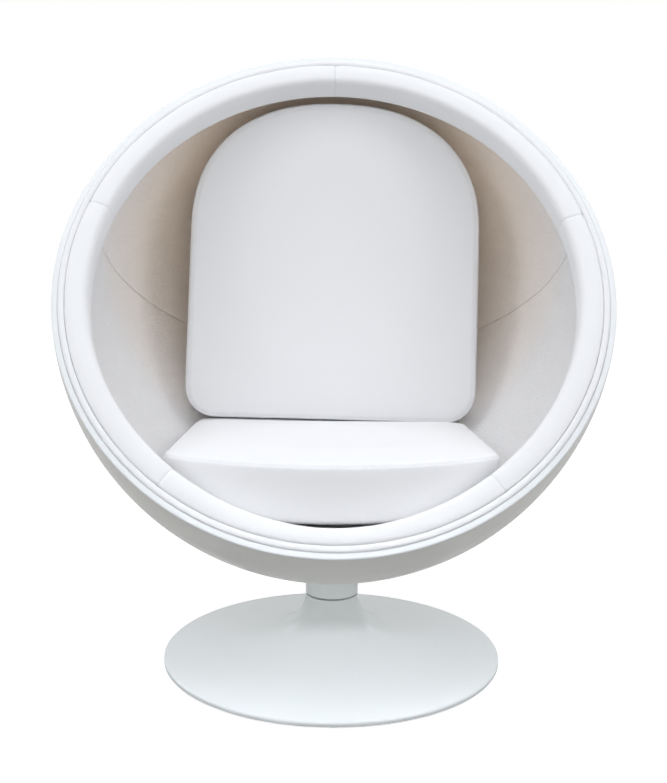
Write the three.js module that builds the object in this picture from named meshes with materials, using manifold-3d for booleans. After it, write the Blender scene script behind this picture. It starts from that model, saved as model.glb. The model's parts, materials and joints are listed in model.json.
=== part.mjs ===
// A pod chair: a hollow ball cut open on a slanted plane, lined and padded, that turns on a trumpet-shaped
// pedestal. Lengths are in millimetres, +Z is up, and the origin is on the floor under the swivel axis. The
// opening faces -Y.
import * as THREE from 'three';
import { mergeVertices } from 'three/addons/utils/BufferGeometryUtils.js';
import Module from 'manifold-3d';

const wasm = await Module();
wasm.setup();

const DEGREE = Math.PI / 180;
const HALF_TURN = Math.PI;
const FULL_TURN = 2 * Math.PI;

// Clearances shared by all fits
const TOUCH_GAP = 0.3;
const SWIVEL_GAP = 3;
const CUT_OVERRUN = 20;
const MERGE_DISTANCE = 1e-3;

// The ball and its opening
const BALL_RADIUS = 550;
const UNDERSIDE_HEIGHT = 178;
const BALL_CENTRE_HEIGHT = UNDERSIDE_HEIGHT + BALL_RADIUS;
const SHELL_WALL = 8;
const OPENING_TILT = 32 * DEGREE;
const OPENING_OFFSET = 86;
const LIP_ROUNDING = 3;
const LIP_WIDTH = 11.4;
const LIP_DEPTH = 16;
const LIP_TAPER = 10;
const BALL_SEGMENTS = 40;
const BALL_STEPS = 12;
const LIP_ROUNDING_STEPS = 3;

// The padded lining and the edge trim
const LINING_THICKNESS = 27.7;
const LINING_EDGE_OFFSET = 36;
const LINING_SEAM_GAP = 0.6;
const LINING_SEAM_HEIGHT = 153;
const LINING_SEAM_SLOPE = 5 * DEGREE;
const LINING_CUTOUT_RADIUS = 82;
const PIPING_DIAMETER = 12;
const PIPING_PROUD = 4;
const PIPING_SIDES = 8;
const TACK_RING_WIDTH = 24;
const TACK_RING_DEPTH = 20;
const TACK_RING_INSET = 4.5;
const RIM_PAD_WIDTH = 42;
const RIM_PAD_DEPTH = 58;
const RIM_PAD_CROWN = 7;
const RIM_PAD_FACE_ROUNDING = 18;
const RIM_PAD_CORNER_STEPS = 4;
const RIM_SEAM_GAP = 0.6;
const RIM_UPPER_SEAM = 72 * DEGREE;
const RIM_LOWER_SEAM = 143.5 * DEGREE;

// The seat cushion
const SEAT_TOP_HEIGHT = 457;
const SEAT_THICKNESS = 104;
const SEAT_WIDTH = 614;
const SEAT_REAR_WIDTH = 574;
const SEAT_FRONT_REACH = 289;
const SEAT_FRONT_RADIUS = 516;
const SEAT_CORNER_RADIUS = 34;
const SEAT_CROWN = 9;
const SEAT_SIDE_BULGE = 9;

// The back cushion
const BACK_THICKNESS = 112;
const BACK_BEDDING = 17;
const BACK_WIDTH = 640;
const BACK_SHOULDER_WIDTH = 626;
const BACK_SHOULDER_HEIGHT = 409;
const BACK_HEADROOM = 111.4;
const BACK_LEAN = 0.5 * DEGREE;
const BACK_BOTTOM_CORNER = 72;
const BACK_TOP_FULLNESS = 2.25;
const BACK_CROWN = 12;
const BACK_SIDE_BULGE = 7;

// The swivel: collar, plates, spindle and bearing
const COLLAR_RADIUS = 53;
const COLLAR_WALL = 4;
const COLLAR_FLARE = 7;
const COLLAR_FLARE_HEIGHT = 14;
const COLLAR_FLARE_STEPS = 4;
const COLLAR_FLARE_SHARE = 1 / 7;
const BOSS_DROP = 2;
const BOSS_MARGIN = 1;
const SWIVEL_PLATE_RADIUS = 45;
const SWIVEL_PLATE_THICKNESS = 8;
const SWIVEL_HUB_RADIUS = 30;
const SWIVEL_HUB_LENGTH = 10;
const BACKING_PLATE_RADIUS = 72;
const BACKING_PLATE_THICKNESS = 5;
const BOLT_CIRCLE_RADIUS = 32;
const BOLT_RADIUS = 4;
const BOLT_HEAD_RADIUS = 7.5;
const BOLT_HEAD_HEIGHT = 5.5;
const BOLT_COUNT = 4;
const SPINDLE_RADIUS = 14;
const SPINDLE_LENGTH = 145;
const RACE_OUTER_RADIUS = 30;
const RACE_THICKNESS = 3;
const RACE_BORE_CLEARANCE = 2;
const ROLLER_RADIUS = 2;
const ROLLER_LENGTH = 8;
const ROLLER_COUNT = 12;
const ROLLER_SIDES = 8;
const CAGE_THICKNESS = 2;
const CAGE_WIDTH = 11;

// The column, its bushings and the retainer
const COLUMN_RADIUS = 24;
const COLUMN_WALL = 4;
const BUSHING_LENGTH = 24;
const RETAINER_RADIUS = 18.5;
const RETAINER_THICKNESS = 3;
const RETAINING_SCREW_RADIUS = 5;
const RETAINING_SCREW_LENGTH = 28;
const RETAINING_HEAD_RADIUS = 9.5;
const RETAINING_HEAD_HEIGHT = 7;

// The pedestal
const PEDESTAL_RADIUS = 339;
const PEDESTAL_WALL = 5;
const PEDESTAL_EDGE_HEIGHT = 10;
const PEDESTAL_EDGE_ROUNDING = 2.5;
const NECK_RADIUS = 52.7;
const NECK_HEIGHT = 131;
const NECK_FLARE_RADIUS = 58;
const NECK_FLARE_DROP = 71;
const FOOT_SWEEP_RADIUS = 150;
const FOOT_SWEEP_HEIGHT = 38;
const HUB_LENGTH = 34;
const FLANK_STEPS = 12;
const FLANK_FINE_STEPS = 48;
const FELT_THICKNESS = 3;
const FELT_INSET = 8;
const FOOT_PLATE_RADIUS = 316;
const FOOT_PLATE_THICKNESS = 6;
const FOOT_PLATE_LEDGE = 10;
const ACCESS_HOLE_RADIUS = 17;
const BASE_BOSS_CIRCLE = 236;
const BASE_BOSS_RADIUS = 9;
const BASE_SCREW_RADIUS = 2.6;
const BASE_SCREW_LENGTH = 14;
const BASE_SCREW_HEAD_RADIUS = 5.6;
const BASE_SCREW_HEAD_HEIGHT = 3;
const BASE_SCREW_COUNT = 6;

// Facets of the turned pieces
const PEDESTAL_SEGMENTS = 40;
const COLLAR_SEGMENTS = 24;
const FINE_SEGMENTS = 16;
const HOLE_SEGMENTS = 8;
const HEX_SIDES = 6;

// Materials
const glossWhite = () => new THREE.MeshStandardMaterial({ color: 0xe6ecec, roughness: 0.12, metalness: 0 });
const whiteFelt = () => new THREE.MeshStandardMaterial({ color: 0xf1f0ef, roughness: 0.95, metalness: 0 });
const brightSteel = () => new THREE.MeshStandardMaterial({ color: 0xa9adb0, roughness: 0.35, metalness: 1 });
const blackSteel = () => new THREE.MeshStandardMaterial({ color: 0x33353a, roughness: 0.55, metalness: 0.6 });
const ivoryNylon = () => new THREE.MeshStandardMaterial({ color: 0xd9d4c4, roughness: 0.5, metalness: 0 });
const birchPly = () => new THREE.MeshStandardMaterial({ color: 0xc9a877, roughness: 0.8, metalness: 0 });
const greyFelt = () => new THREE.MeshStandardMaterial({ color: 0x55575a, roughness: 1, metalness: 0 });

// Solids and meshes

function solidOf(geometry) {
  const bare = geometry.index ? geometry.toNonIndexed() : geometry.clone();
  bare.deleteAttribute('normal');
  bare.deleteAttribute('uv');
  const merged = mergeVertices(bare, MERGE_DISTANCE);
  return new wasm.Manifold(new wasm.Mesh({
    numProp: 3,
    vertProperties: merged.attributes.position.array,
    triVerts: new Uint32Array(merged.index.array),
  }));
}

function geometryOf(solid) {
  const mesh = solid.getMesh();
  const positions = new Float32Array(mesh.numVert * 3);
  for (let i = 0; i < mesh.numVert; i += 1) {
    positions.set(mesh.vertProperties.subarray(i * mesh.numProp, i * mesh.numProp + 3), i * 3);
  }
  const geometry = new THREE.BufferGeometry();
  geometry.setAttribute('position', new THREE.BufferAttribute(positions, 3));
  geometry.setIndex(new THREE.BufferAttribute(new Uint32Array(mesh.triVerts), 1));
  geometry.computeVertexNormals();
  return geometry;
}

function meshOf(name, geometry, material) {
  const mesh = new THREE.Mesh(geometry, material);
  mesh.name = name;
  return mesh;
}

// Turns a profile of [radius, height] pairs about +Z. The profile may run either way round.
function turned(profile, segments) {
  let area = 0;
  profile.forEach(([r, z], i) => {
    const [nextR, nextZ] = profile[(i + 1) % profile.length];
    area += r * nextZ - nextR * z;
  });
  const points = profile.map(([r, z]) => new THREE.Vector2(r, z));
  if (area < 0) points.reverse();
  return new THREE.LatheGeometry(points, segments).rotateX(HALF_TURN / 2);
}

// A ring of rectangular section, or a disc when the bore is zero.
function ringProfile(bore, radius, low, high) {
  if (bore === 0) return [[0, low], [radius, low], [radius, high], [0, high]];
  return [[bore, low], [radius, low], [radius, high], [bore, high], [bore, low]];
}

const ring = (bore, radius, low, high, segments) => turned(ringProfile(bore, radius, low, high), segments);

// Points of an arc about [centreR, centreZ], angles measured from +radius towards +height.
function arc(centreR, centreZ, radius, from, to, steps) {
  return Array.from({ length: steps + 1 }, (_, i) => {
    const angle = from + ((to - from) * i) / steps;
    return [centreR + radius * Math.cos(angle), centreZ + radius * Math.sin(angle)];
  });
}

// Angles of count places spread evenly about the swivel axis, offset by half a step.
const places = (count) => Array.from({ length: count }, (_, i) => ((i + 0.5) / count) * FULL_TURN);

const onCircle = (geometry, radius, angle) => (
  geometry.translate(radius * Math.cos(angle), radius * Math.sin(angle), 0)
);

// Pieces drawn round the opening's own axis are turned so that +Z points out of the opening and +Y up its
// face.
const facing = (geometry) => geometry.rotateX(HALF_TURN / 2 - OPENING_TILT);

// Heights in the pod's own frame, whose origin is the ball's centre
const podHeight = (height) => height - BALL_CENTRE_HEIGHT;

// The shell

const SHELL_INNER_RADIUS = BALL_RADIUS - SHELL_WALL;
const ROUNDING_PLANE = OPENING_OFFSET - LIP_ROUNDING;
const ROUNDING_RADIUS = Math.sqrt(BALL_RADIUS ** 2 - ROUNDING_PLANE ** 2);
const LIP_OUTER_RADIUS = ROUNDING_RADIUS - LIP_ROUNDING;
const LIP_INNER_RADIUS = LIP_OUTER_RADIUS - LIP_WIDTH;
const OPENING_ANGLE = Math.asin(ROUNDING_PLANE / BALL_RADIUS);

// An arc of the ball's section from the pole opposite the opening up to the edge, on the same rays at any
// radius.
const ballArc = (radius) => arc(0, 0, radius, -HALF_TURN / 2, OPENING_ANGLE, BALL_STEPS);

function shellBlank() {
  const outer = ballArc(BALL_RADIUS);
  const edge = arc(LIP_OUTER_RADIUS, ROUNDING_PLANE, LIP_ROUNDING, 0, HALF_TURN / 2, LIP_ROUNDING_STEPS);
  const lip = [
    [LIP_INNER_RADIUS, OPENING_OFFSET],
    [LIP_INNER_RADIUS, OPENING_OFFSET - LIP_DEPTH],
  ];
  const innerEdge = OPENING_OFFSET - LIP_DEPTH - LIP_TAPER;
  const inner = ballArc(SHELL_INNER_RADIUS).filter(([, z]) => z < innerEdge);
  inner.push([Math.sqrt(SHELL_INNER_RADIUS ** 2 - innerEdge ** 2), innerEdge]);
  return turned([...outer.slice(0, -1), ...edge, ...lip, ...inner.reverse()], BALL_SEGMENTS);
}

const BOSS_FACE = podHeight(BALL_CENTRE_HEIGHT - BALL_RADIUS - BOSS_DROP);
const BOSS_RADIUS = SWIVEL_PLATE_RADIUS + BOSS_MARGIN;
const INNER_BOSS_RADIUS = BACKING_PLATE_RADIUS + BOSS_MARGIN;

// How far in a facet's middle lies, as a share of the ball's radius
const stepAngle = (HALF_TURN / 2 + OPENING_ANGLE) / BALL_STEPS;
const facetShare = Math.cos(HALF_TURN / BALL_SEGMENTS) * Math.cos(stepAngle / 2);
const FACET_INNER_RADIUS = SHELL_INNER_RADIUS * facetShare;
const INNER_BOSS_FACE = -Math.sqrt(FACET_INNER_RADIUS ** 2 - INNER_BOSS_RADIUS ** 2) + BOSS_MARGIN;

function shell() {
  let solid = solidOf(facing(shellBlank()));
  solid = solid.add(solidOf(ring(0, BOSS_RADIUS, BOSS_FACE, INNER_BOSS_FACE, COLLAR_SEGMENTS)));
  solid = solid.add(solidOf(ring(0, INNER_BOSS_RADIUS, -BALL_RADIUS + SHELL_WALL / 2 + BOSS_DROP,
    INNER_BOSS_FACE, COLLAR_SEGMENTS)));
  return geometryOf(boltHoles(solid, BOSS_FACE, INNER_BOSS_FACE));
}

// The lining

const LINING_OUTER_RADIUS = SHELL_INNER_RADIUS - TOUCH_GAP;
const LINING_INNER_RADIUS = LINING_OUTER_RADIUS - LINING_THICKNESS;
const ROOM_RADIUS = LINING_INNER_RADIUS - TOUCH_GAP;
const SEAM_NORMAL = [0, Math.cos(LINING_SEAM_SLOPE), -Math.sin(LINING_SEAM_SLOPE)];
const SEAM_DISTANCE = LINING_SEAM_HEIGHT * Math.cos(LINING_SEAM_SLOPE);

// Turns a direction from the opening's frame into the pod's.
function turnedDirection([x, y, z]) {
  const across = new THREE.Vector3(1, 0, 0);
  return new THREE.Vector3(x, y, z).applyAxisAngle(across, HALF_TURN / 2 - OPENING_TILT).toArray();
}

const opposite = ([x, y, z]) => [-x, -y, -z];
const OPENING_NORMAL = turnedDirection([0, 0, 1]);

function liningBlank() {
  const section = [...ballArc(LINING_OUTER_RADIUS), ...ballArc(LINING_INNER_RADIUS).reverse()];
  let solid = solidOf(facing(turned(section, BALL_SEGMENTS)));
  solid = solid.trimByPlane(opposite(OPENING_NORMAL), -LINING_EDGE_OFFSET);
  const cutoutTop = -LINING_INNER_RADIUS + CUT_OVERRUN;
  const cutout = ring(0, LINING_CUTOUT_RADIUS, -BALL_RADIUS, cutoutTop, COLLAR_SEGMENTS);
  return solid.subtract(solidOf(cutout));
}

const upperLining = () => geometryOf(
  liningBlank().trimByPlane(turnedDirection(SEAM_NORMAL), SEAM_DISTANCE + LINING_SEAM_GAP / 2),
);

const lowerLining = () => geometryOf(
  liningBlank().trimByPlane(opposite(turnedDirection(SEAM_NORMAL)), LINING_SEAM_GAP / 2 - SEAM_DISTANCE),
);

// The room inside the lining and the rim pads, which the cushions fit.
function linedRoom() {
  const rimPadRear = OPENING_OFFSET - RIM_PAD_DEPTH - TOUCH_GAP;
  const mouth = RIM_PAD_INNER_RADIUS - TOUCH_GAP;
  const wall = ballArc(ROOM_RADIUS).filter(([, z]) => z < rimPadRear);
  wall.push([mouth, rimPadRear], [mouth, BALL_RADIUS], [0, BALL_RADIUS]);
  return solidOf(facing(turned(wall, BALL_SEGMENTS)));
}

// The room's radius at a height in the pod's frame
const roomRadiusAt = (height) => Math.sqrt(ROOM_RADIUS ** 2 - height ** 2);

// The edge trim

const PIPING_RADIUS = PIPING_DIAMETER / 2;
const PIPING_CENTRE = LIP_INNER_RADIUS - TOUCH_GAP - PIPING_RADIUS;
const RIM_PAD_OUTER_RADIUS = PIPING_CENTRE - PIPING_RADIUS - TOUCH_GAP;
const RIM_PAD_INNER_RADIUS = RIM_PAD_OUTER_RADIUS - RIM_PAD_WIDTH;
const TACK_RING_FRONT = OPENING_OFFSET - LIP_DEPTH - LIP_TAPER - TOUCH_GAP;
const TACK_RING_OUTER_RADIUS = SHELL_INNER_RADIUS - TACK_RING_INSET - LIP_TAPER / 2;

function piping() {
  const centreZ = OPENING_OFFSET + PIPING_PROUD - PIPING_RADIUS;
  const section = arc(PIPING_CENTRE, centreZ, PIPING_RADIUS, 0, FULL_TURN, PIPING_SIDES);
  return facing(turned(section, BALL_SEGMENTS));
}

function tackRing() {
  const profile = ringProfile(TACK_RING_OUTER_RADIUS - TACK_RING_WIDTH, TACK_RING_OUTER_RADIUS,
    TACK_RING_FRONT - TACK_RING_DEPTH, TACK_RING_FRONT);
  return facing(turned(profile, BALL_SEGMENTS));
}

function rimPadBlank() {
  const front = OPENING_OFFSET + RIM_PAD_CROWN;
  const rear = OPENING_OFFSET - RIM_PAD_DEPTH;
  const ledge = TACK_RING_FRONT + TOUCH_GAP;
  const ledgeRadius = TACK_RING_OUTER_RADIUS - TACK_RING_WIDTH - TOUCH_GAP;
  const profile = [
    [RIM_PAD_OUTER_RADIUS, ledge],
    ...arc(RIM_PAD_OUTER_RADIUS - RIM_PAD_CROWN, OPENING_OFFSET, RIM_PAD_CROWN, 0, HALF_TURN / 2,
      RIM_PAD_CORNER_STEPS),
    ...arc(RIM_PAD_INNER_RADIUS + RIM_PAD_FACE_ROUNDING, front - RIM_PAD_FACE_ROUNDING, RIM_PAD_FACE_ROUNDING,
      HALF_TURN / 2, HALF_TURN, RIM_PAD_CORNER_STEPS),
    ...arc(RIM_PAD_INNER_RADIUS + RIM_PAD_FACE_ROUNDING, rear + RIM_PAD_FACE_ROUNDING, RIM_PAD_FACE_ROUNDING,
      HALF_TURN, 1.5 * HALF_TURN, RIM_PAD_CORNER_STEPS),
    [ledgeRadius, rear],
    [ledgeRadius, ledge],
  ];
  profile.push(profile[0]);
  return solidOf(turned(profile, BALL_SEGMENTS));
}

// One length of the rim pad between two seams, whose angles run clockwise from the top of the opening.
function rimPad(from, to) {
  const solid = rimPadBlank()
    .trimByPlane([Math.cos(from), -Math.sin(from), 0], RIM_SEAM_GAP / 2)
    .trimByPlane([-Math.cos(to), Math.sin(to), 0], RIM_SEAM_GAP / 2);
  return facing(geometryOf(solid));
}

const RIM_PADS = [
  ['rim_pad_upper_right', 0, RIM_UPPER_SEAM],
  ['rim_pad_side_right', RIM_UPPER_SEAM, RIM_LOWER_SEAM],
  ['rim_pad_bottom', RIM_LOWER_SEAM, FULL_TURN - RIM_LOWER_SEAM],
  ['rim_pad_side_left', FULL_TURN - RIM_LOWER_SEAM, FULL_TURN - RIM_UPPER_SEAM],
  ['rim_pad_upper_left', FULL_TURN - RIM_UPPER_SEAM, FULL_TURN],
];

// Cushions

// A cushion over a closed outline of [x, y] points: two crowned faces, joined by a boxing that bulges between
// its two seams. It lies between height 0 and thickness.
function cushionBlank(outline, thickness, crown, bulge) {
  const faceShares = [[0.34, 0.97], [0.66, 0.8], [0.88, 0.42], [1, 0]];
  const boxingShares = [[0.2, 0.64], [0.5, 1], [0.8, 0.64]];
  const count = outline.length;
  const centre = outline.reduce((sum, [x, y]) => [sum[0] + x / count, sum[1] + y / count], [0, 0]);
  const body = thickness - 2 * crown;
  const normals = outline.map((_, i) => {
    const [ax, ay] = outline[(i + count - 1) % count];
    const [bx, by] = outline[(i + 1) % count];
    const length = Math.hypot(bx - ax, by - ay);
    return [(by - ay) / length, (ax - bx) / length];
  });
  const level = (spread, swell, height) => outline.map(([x, y], i) => [
    centre[0] + (x - centre[0]) * spread + normals[i][0] * swell,
    centre[1] + (y - centre[1]) * spread + normals[i][1] * swell,
    height,
  ]);
  const levels = [
    ...faceShares.map(([spread, rise]) => level(spread, -bulge, crown * (1 - rise))),
    ...boxingShares.map(([up, swell]) => level(1, bulge * (swell - 1), crown + body * up)),
    ...faceShares.toReversed().map(
      ([spread, rise]) => level(spread, -bulge, thickness - crown * (1 - rise)),
    ),
  ];
  const vertices = [[centre[0], centre[1], 0], ...levels.flat(), [centre[0], centre[1], thickness]];
  const last = vertices.length - 1;
  const faces = [];
  const at = (row, i) => 1 + row * count + ((i + count) % count);
  for (let i = 0; i < count; i += 1) {
    faces.push([0, at(0, i + 1), at(0, i)]);
    faces.push([last, at(levels.length - 1, i), at(levels.length - 1, i + 1)]);
    for (let row = 0; row < levels.length - 1; row += 1) {
      faces.push([at(row, i), at(row, i + 1), at(row + 1, i + 1)]);
      faces.push([at(row, i), at(row + 1, i + 1), at(row + 1, i)]);
    }
  }
  const geometry = new THREE.BufferGeometry();
  geometry.setAttribute('position', new THREE.Float32BufferAttribute(vertices.flat(), 3));
  geometry.setIndex(faces.flat());
  return geometry;
}

// The seat's plan: a front that follows the opening, sides that draw in towards the rear, and a rear that
// follows the bowl.
function seatOutline() {
  const halfWidth = SEAT_WIDTH / 2;
  const frontCentre = SEAT_FRONT_RADIUS - SEAT_FRONT_REACH;
  const frontInner = SEAT_FRONT_RADIUS - SEAT_CORNER_RADIUS;
  const cornerX = halfWidth - SEAT_CORNER_RADIUS;
  const cornerY = frontCentre - Math.sqrt(frontInner ** 2 - cornerX ** 2);
  const cornerAngle = Math.atan2(cornerY - frontCentre, cornerX);
  const rearRadius = roomRadiusAt(podHeight(SEAT_TOP_HEIGHT - SEAT_THICKNESS / 2));
  const rearInner = rearRadius - SEAT_CORNER_RADIUS;
  const rearX = SEAT_REAR_WIDTH / 2 - SEAT_CORNER_RADIUS;
  const rearY = Math.sqrt(rearInner ** 2 - rearX ** 2);
  const rearAngle = Math.atan2(rearY, rearX);
  const sideAngle = Math.atan2(cornerX - rearX, rearY - cornerY);
  const corner = SEAT_CORNER_RADIUS;
  const frontSteps = 12;
  const rearSteps = 12;
  const cornerSteps = 4;
  return [
    ...arc(0, frontCentre, SEAT_FRONT_RADIUS, -HALF_TURN - cornerAngle, cornerAngle, frontSteps),
    ...arc(cornerX, cornerY, corner, cornerAngle, sideAngle, cornerSteps).slice(1),
    ...arc(rearX, rearY, corner, sideAngle, rearAngle, cornerSteps),
    ...arc(0, 0, rearRadius, rearAngle, HALF_TURN - rearAngle, rearSteps).slice(1),
    ...arc(-rearX, rearY, corner, HALF_TURN - rearAngle, HALF_TURN - sideAngle, cornerSteps).slice(1),
    ...arc(-cornerX, cornerY, corner, HALF_TURN - sideAngle, HALF_TURN - cornerAngle, cornerSteps).slice(0, -1),
  ];
}

function seatCushion() {
  const blank = cushionBlank(seatOutline(), SEAT_THICKNESS, SEAT_CROWN, SEAT_SIDE_BULGE);
  blank.translate(0, 0, podHeight(SEAT_TOP_HEIGHT - SEAT_THICKNESS));
  return geometryOf(solidOf(blank).intersect(linedRoom()));
}

// Height of the back's underside in the pod's frame, with room for its lean, and its height from there up
const BACK_BOTTOM = podHeight(SEAT_TOP_HEIGHT + TOUCH_GAP + BACK_THICKNESS * Math.sin(BACK_LEAN));
const BACK_HEIGHT = ROOM_RADIUS - BACK_HEADROOM - BACK_BOTTOM;

// The back's outline, drawn upright with its bottom edge on height 0: round bottom corners, sides that draw
// in towards the shoulders, and a full round top, which is a stretched circle with squarer shoulders.
function backOutline() {
  const bottomX = BACK_WIDTH / 2 - BACK_BOTTOM_CORNER;
  const rise = BACK_HEIGHT - BACK_SHOULDER_HEIGHT;
  const lean = Math.atan2((BACK_WIDTH - BACK_SHOULDER_WIDTH) / 2, BACK_SHOULDER_HEIGHT - BACK_BOTTOM_CORNER);
  const cornerSteps = 6;
  const topSteps = 11;
  const rounded = (value) => value ** (2 / BACK_TOP_FULLNESS);
  const top = Array.from({ length: topSteps }, (_, i) => {
    const angle = (HALF_TURN / 2) * (i / topSteps);
    return [
      (BACK_SHOULDER_WIDTH / 2) * rounded(Math.cos(angle)),
      BACK_SHOULDER_HEIGHT + rise * rounded(Math.sin(angle)),
    ];
  });
  const right = [
    ...arc(bottomX, BACK_BOTTOM_CORNER, BACK_BOTTOM_CORNER, -HALF_TURN / 2, lean, cornerSteps),
    ...top,
    [0, BACK_HEIGHT],
  ];
  const left = right.slice(0, -1).reverse().map(([x, y]) => [-x, y]);
  return [[0, 0], ...right, ...left];
}

function backCushion() {
  const blank = cushionBlank(backOutline(), BACK_THICKNESS, BACK_CROWN, BACK_SIDE_BULGE);
  blank.translate(0, 0, -BACK_THICKNESS);
  blank.rotateX(HALF_TURN / 2 - BACK_LEAN);
  blank.translate(0, roomRadiusAt(BACK_BOTTOM + BACK_HEIGHT) + BACK_BEDDING - BACK_THICKNESS, BACK_BOTTOM);
  return geometryOf(solidOf(blank).intersect(linedRoom()));
}

// The swivel above the pedestal

const COLLAR_BOTTOM = NECK_HEIGHT + SWIVEL_GAP;
const PLATE_TOP = BOSS_FACE + BALL_CENTRE_HEIGHT - TOUCH_GAP;
const PLATE_BOTTOM = PLATE_TOP - SWIVEL_PLATE_THICKNESS;
const HUB_BOTTOM = PLATE_BOTTOM - SWIVEL_HUB_LENGTH;
const UPPER_RACE_BOTTOM = HUB_BOTTOM - TOUCH_GAP - RACE_THICKNESS;
const ROLLER_CENTRE = UPPER_RACE_BOTTOM - TOUCH_GAP - ROLLER_RADIUS;
const LOWER_RACE_TOP = ROLLER_CENTRE - ROLLER_RADIUS - TOUCH_GAP;
const COLUMN_TOP = LOWER_RACE_TOP - RACE_THICKNESS - TOUCH_GAP;
const BACKING_PLATE_BOTTOM = INNER_BOSS_FACE + BALL_CENTRE_HEIGHT + TOUCH_GAP;
const BACKING_PLATE_TOP = BACKING_PLATE_BOTTOM + BACKING_PLATE_THICKNESS;
const SPINDLE_BOTTOM = PLATE_TOP - SPINDLE_LENGTH;

function collar() {
  const gripBottom = PLATE_BOTTOM - COLLAR_WALL;
  const ballAt = (r) => BALL_CENTRE_HEIGHT - Math.sqrt((BALL_RADIUS + TOUCH_GAP) ** 2 - r ** 2) - TOUCH_GAP;
  const flareRadius = COLLAR_RADIUS + COLLAR_FLARE;
  const flareTop = ballAt(flareRadius);
  const flare = new THREE.QuadraticBezierCurve(
    new THREE.Vector2(COLLAR_RADIUS, flareTop - COLLAR_FLARE_HEIGHT),
    new THREE.Vector2(
      COLLAR_RADIUS + COLLAR_FLARE * COLLAR_FLARE_SHARE,
      flareTop - COLLAR_FLARE_HEIGHT * COLLAR_FLARE_SHARE,
    ),
    new THREE.Vector2(flareRadius, flareTop),
  );
  const profile = [
    [COLLAR_RADIUS - COLLAR_WALL, COLLAR_BOTTOM],
    [COLLAR_RADIUS, COLLAR_BOTTOM],
    ...flare.getPoints(COLLAR_FLARE_STEPS).map((p) => [p.x, p.y]),
    [BOSS_RADIUS + TOUCH_GAP, ballAt(BOSS_RADIUS)],
    [BOSS_RADIUS + TOUCH_GAP, PLATE_TOP],
    [SWIVEL_PLATE_RADIUS + TOUCH_GAP, PLATE_TOP],
    [SWIVEL_PLATE_RADIUS + TOUCH_GAP, gripBottom],
    [COLLAR_RADIUS - COLLAR_WALL, gripBottom - COLLAR_WALL],
  ];
  profile.push(profile[0]);
  return turned(profile, COLLAR_SEGMENTS);
}

function swivelPlate() {
  const bore = SPINDLE_RADIUS + TOUCH_GAP;
  const profile = [
    [bore, HUB_BOTTOM],
    [SWIVEL_HUB_RADIUS, HUB_BOTTOM],
    [SWIVEL_HUB_RADIUS, PLATE_BOTTOM],
    [SWIVEL_PLATE_RADIUS, PLATE_BOTTOM],
    [SWIVEL_PLATE_RADIUS, PLATE_TOP],
    [bore, PLATE_TOP],
    [bore, HUB_BOTTOM],
  ];
  return geometryOf(boltHoles(solidOf(turned(profile, COLLAR_SEGMENTS)), HUB_BOTTOM, PLATE_TOP));
}

function boltHoles(solid, low, high) {
  return places(BOLT_COUNT).reduce((cut, angle) => {
    const hole = ring(0, BOLT_RADIUS + TOUCH_GAP, low - CUT_OVERRUN, high + CUT_OVERRUN, HOLE_SEGMENTS);
    return cut.subtract(solidOf(onCircle(hole, BOLT_CIRCLE_RADIUS, angle)));
  }, solid);
}

const backingPlate = () => geometryOf(boltHoles(
  solidOf(ring(0, BACKING_PLATE_RADIUS, BACKING_PLATE_BOTTOM, BACKING_PLATE_TOP, COLLAR_SEGMENTS)),
  BACKING_PLATE_BOTTOM,
  BACKING_PLATE_TOP,
));

// A screw that points down from under its hexagon head.
function hexScrew(radius, headRadius, headHeight, seat, tip) {
  const shank = ring(0, radius, tip, seat + headHeight / 2, HOLE_SEGMENTS);
  const head = ring(0, headRadius, seat, seat + headHeight, HEX_SIDES);
  return geometryOf(solidOf(shank).add(solidOf(head)));
}

const BOLT_SEAT = BACKING_PLATE_TOP + TOUCH_GAP;
const swivelBolt = () => hexScrew(BOLT_RADIUS, BOLT_HEAD_RADIUS, BOLT_HEAD_HEIGHT, BOLT_SEAT, PLATE_BOTTOM);

function spindle() {
  const holeTop = SPINDLE_BOTTOM + RETAINING_SCREW_LENGTH;
  const hole = RETAINING_SCREW_RADIUS + TOUCH_GAP;
  return turned([
    [hole, SPINDLE_BOTTOM],
    [SPINDLE_RADIUS, SPINDLE_BOTTOM],
    [SPINDLE_RADIUS, PLATE_TOP],
    [0, PLATE_TOP],
    [0, holeTop],
    [hole, holeTop],
    [hole, SPINDLE_BOTTOM],
  ], FINE_SEGMENTS);
}

const RACE_BORE = SPINDLE_RADIUS + RACE_BORE_CLEARANCE;
const race = (bottom) => ring(RACE_BORE, RACE_OUTER_RADIUS, bottom, bottom + RACE_THICKNESS, FINE_SEGMENTS);

// The bearing's cage with its rollers, each lying along a radius.
function rollerCage() {
  const middle = (RACE_BORE + RACE_OUTER_RADIUS) / 2;
  const cageBottom = ROLLER_CENTRE - CAGE_THICKNESS / 2;
  let solid = solidOf(ring(middle - CAGE_WIDTH / 2, middle + CAGE_WIDTH / 2, cageBottom,
    cageBottom + CAGE_THICKNESS, FINE_SEGMENTS));
  places(ROLLER_COUNT).forEach((angle) => {
    const roller = new THREE.CylinderGeometry(ROLLER_RADIUS, ROLLER_RADIUS, ROLLER_LENGTH, ROLLER_SIDES);
    roller.rotateZ(HALF_TURN / 2).translate(middle, 0, 0).rotateZ(angle).translate(0, 0, ROLLER_CENTRE);
    solid = solid.add(solidOf(roller));
  });
  return geometryOf(solid);
}

// The column and what it holds

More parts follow.
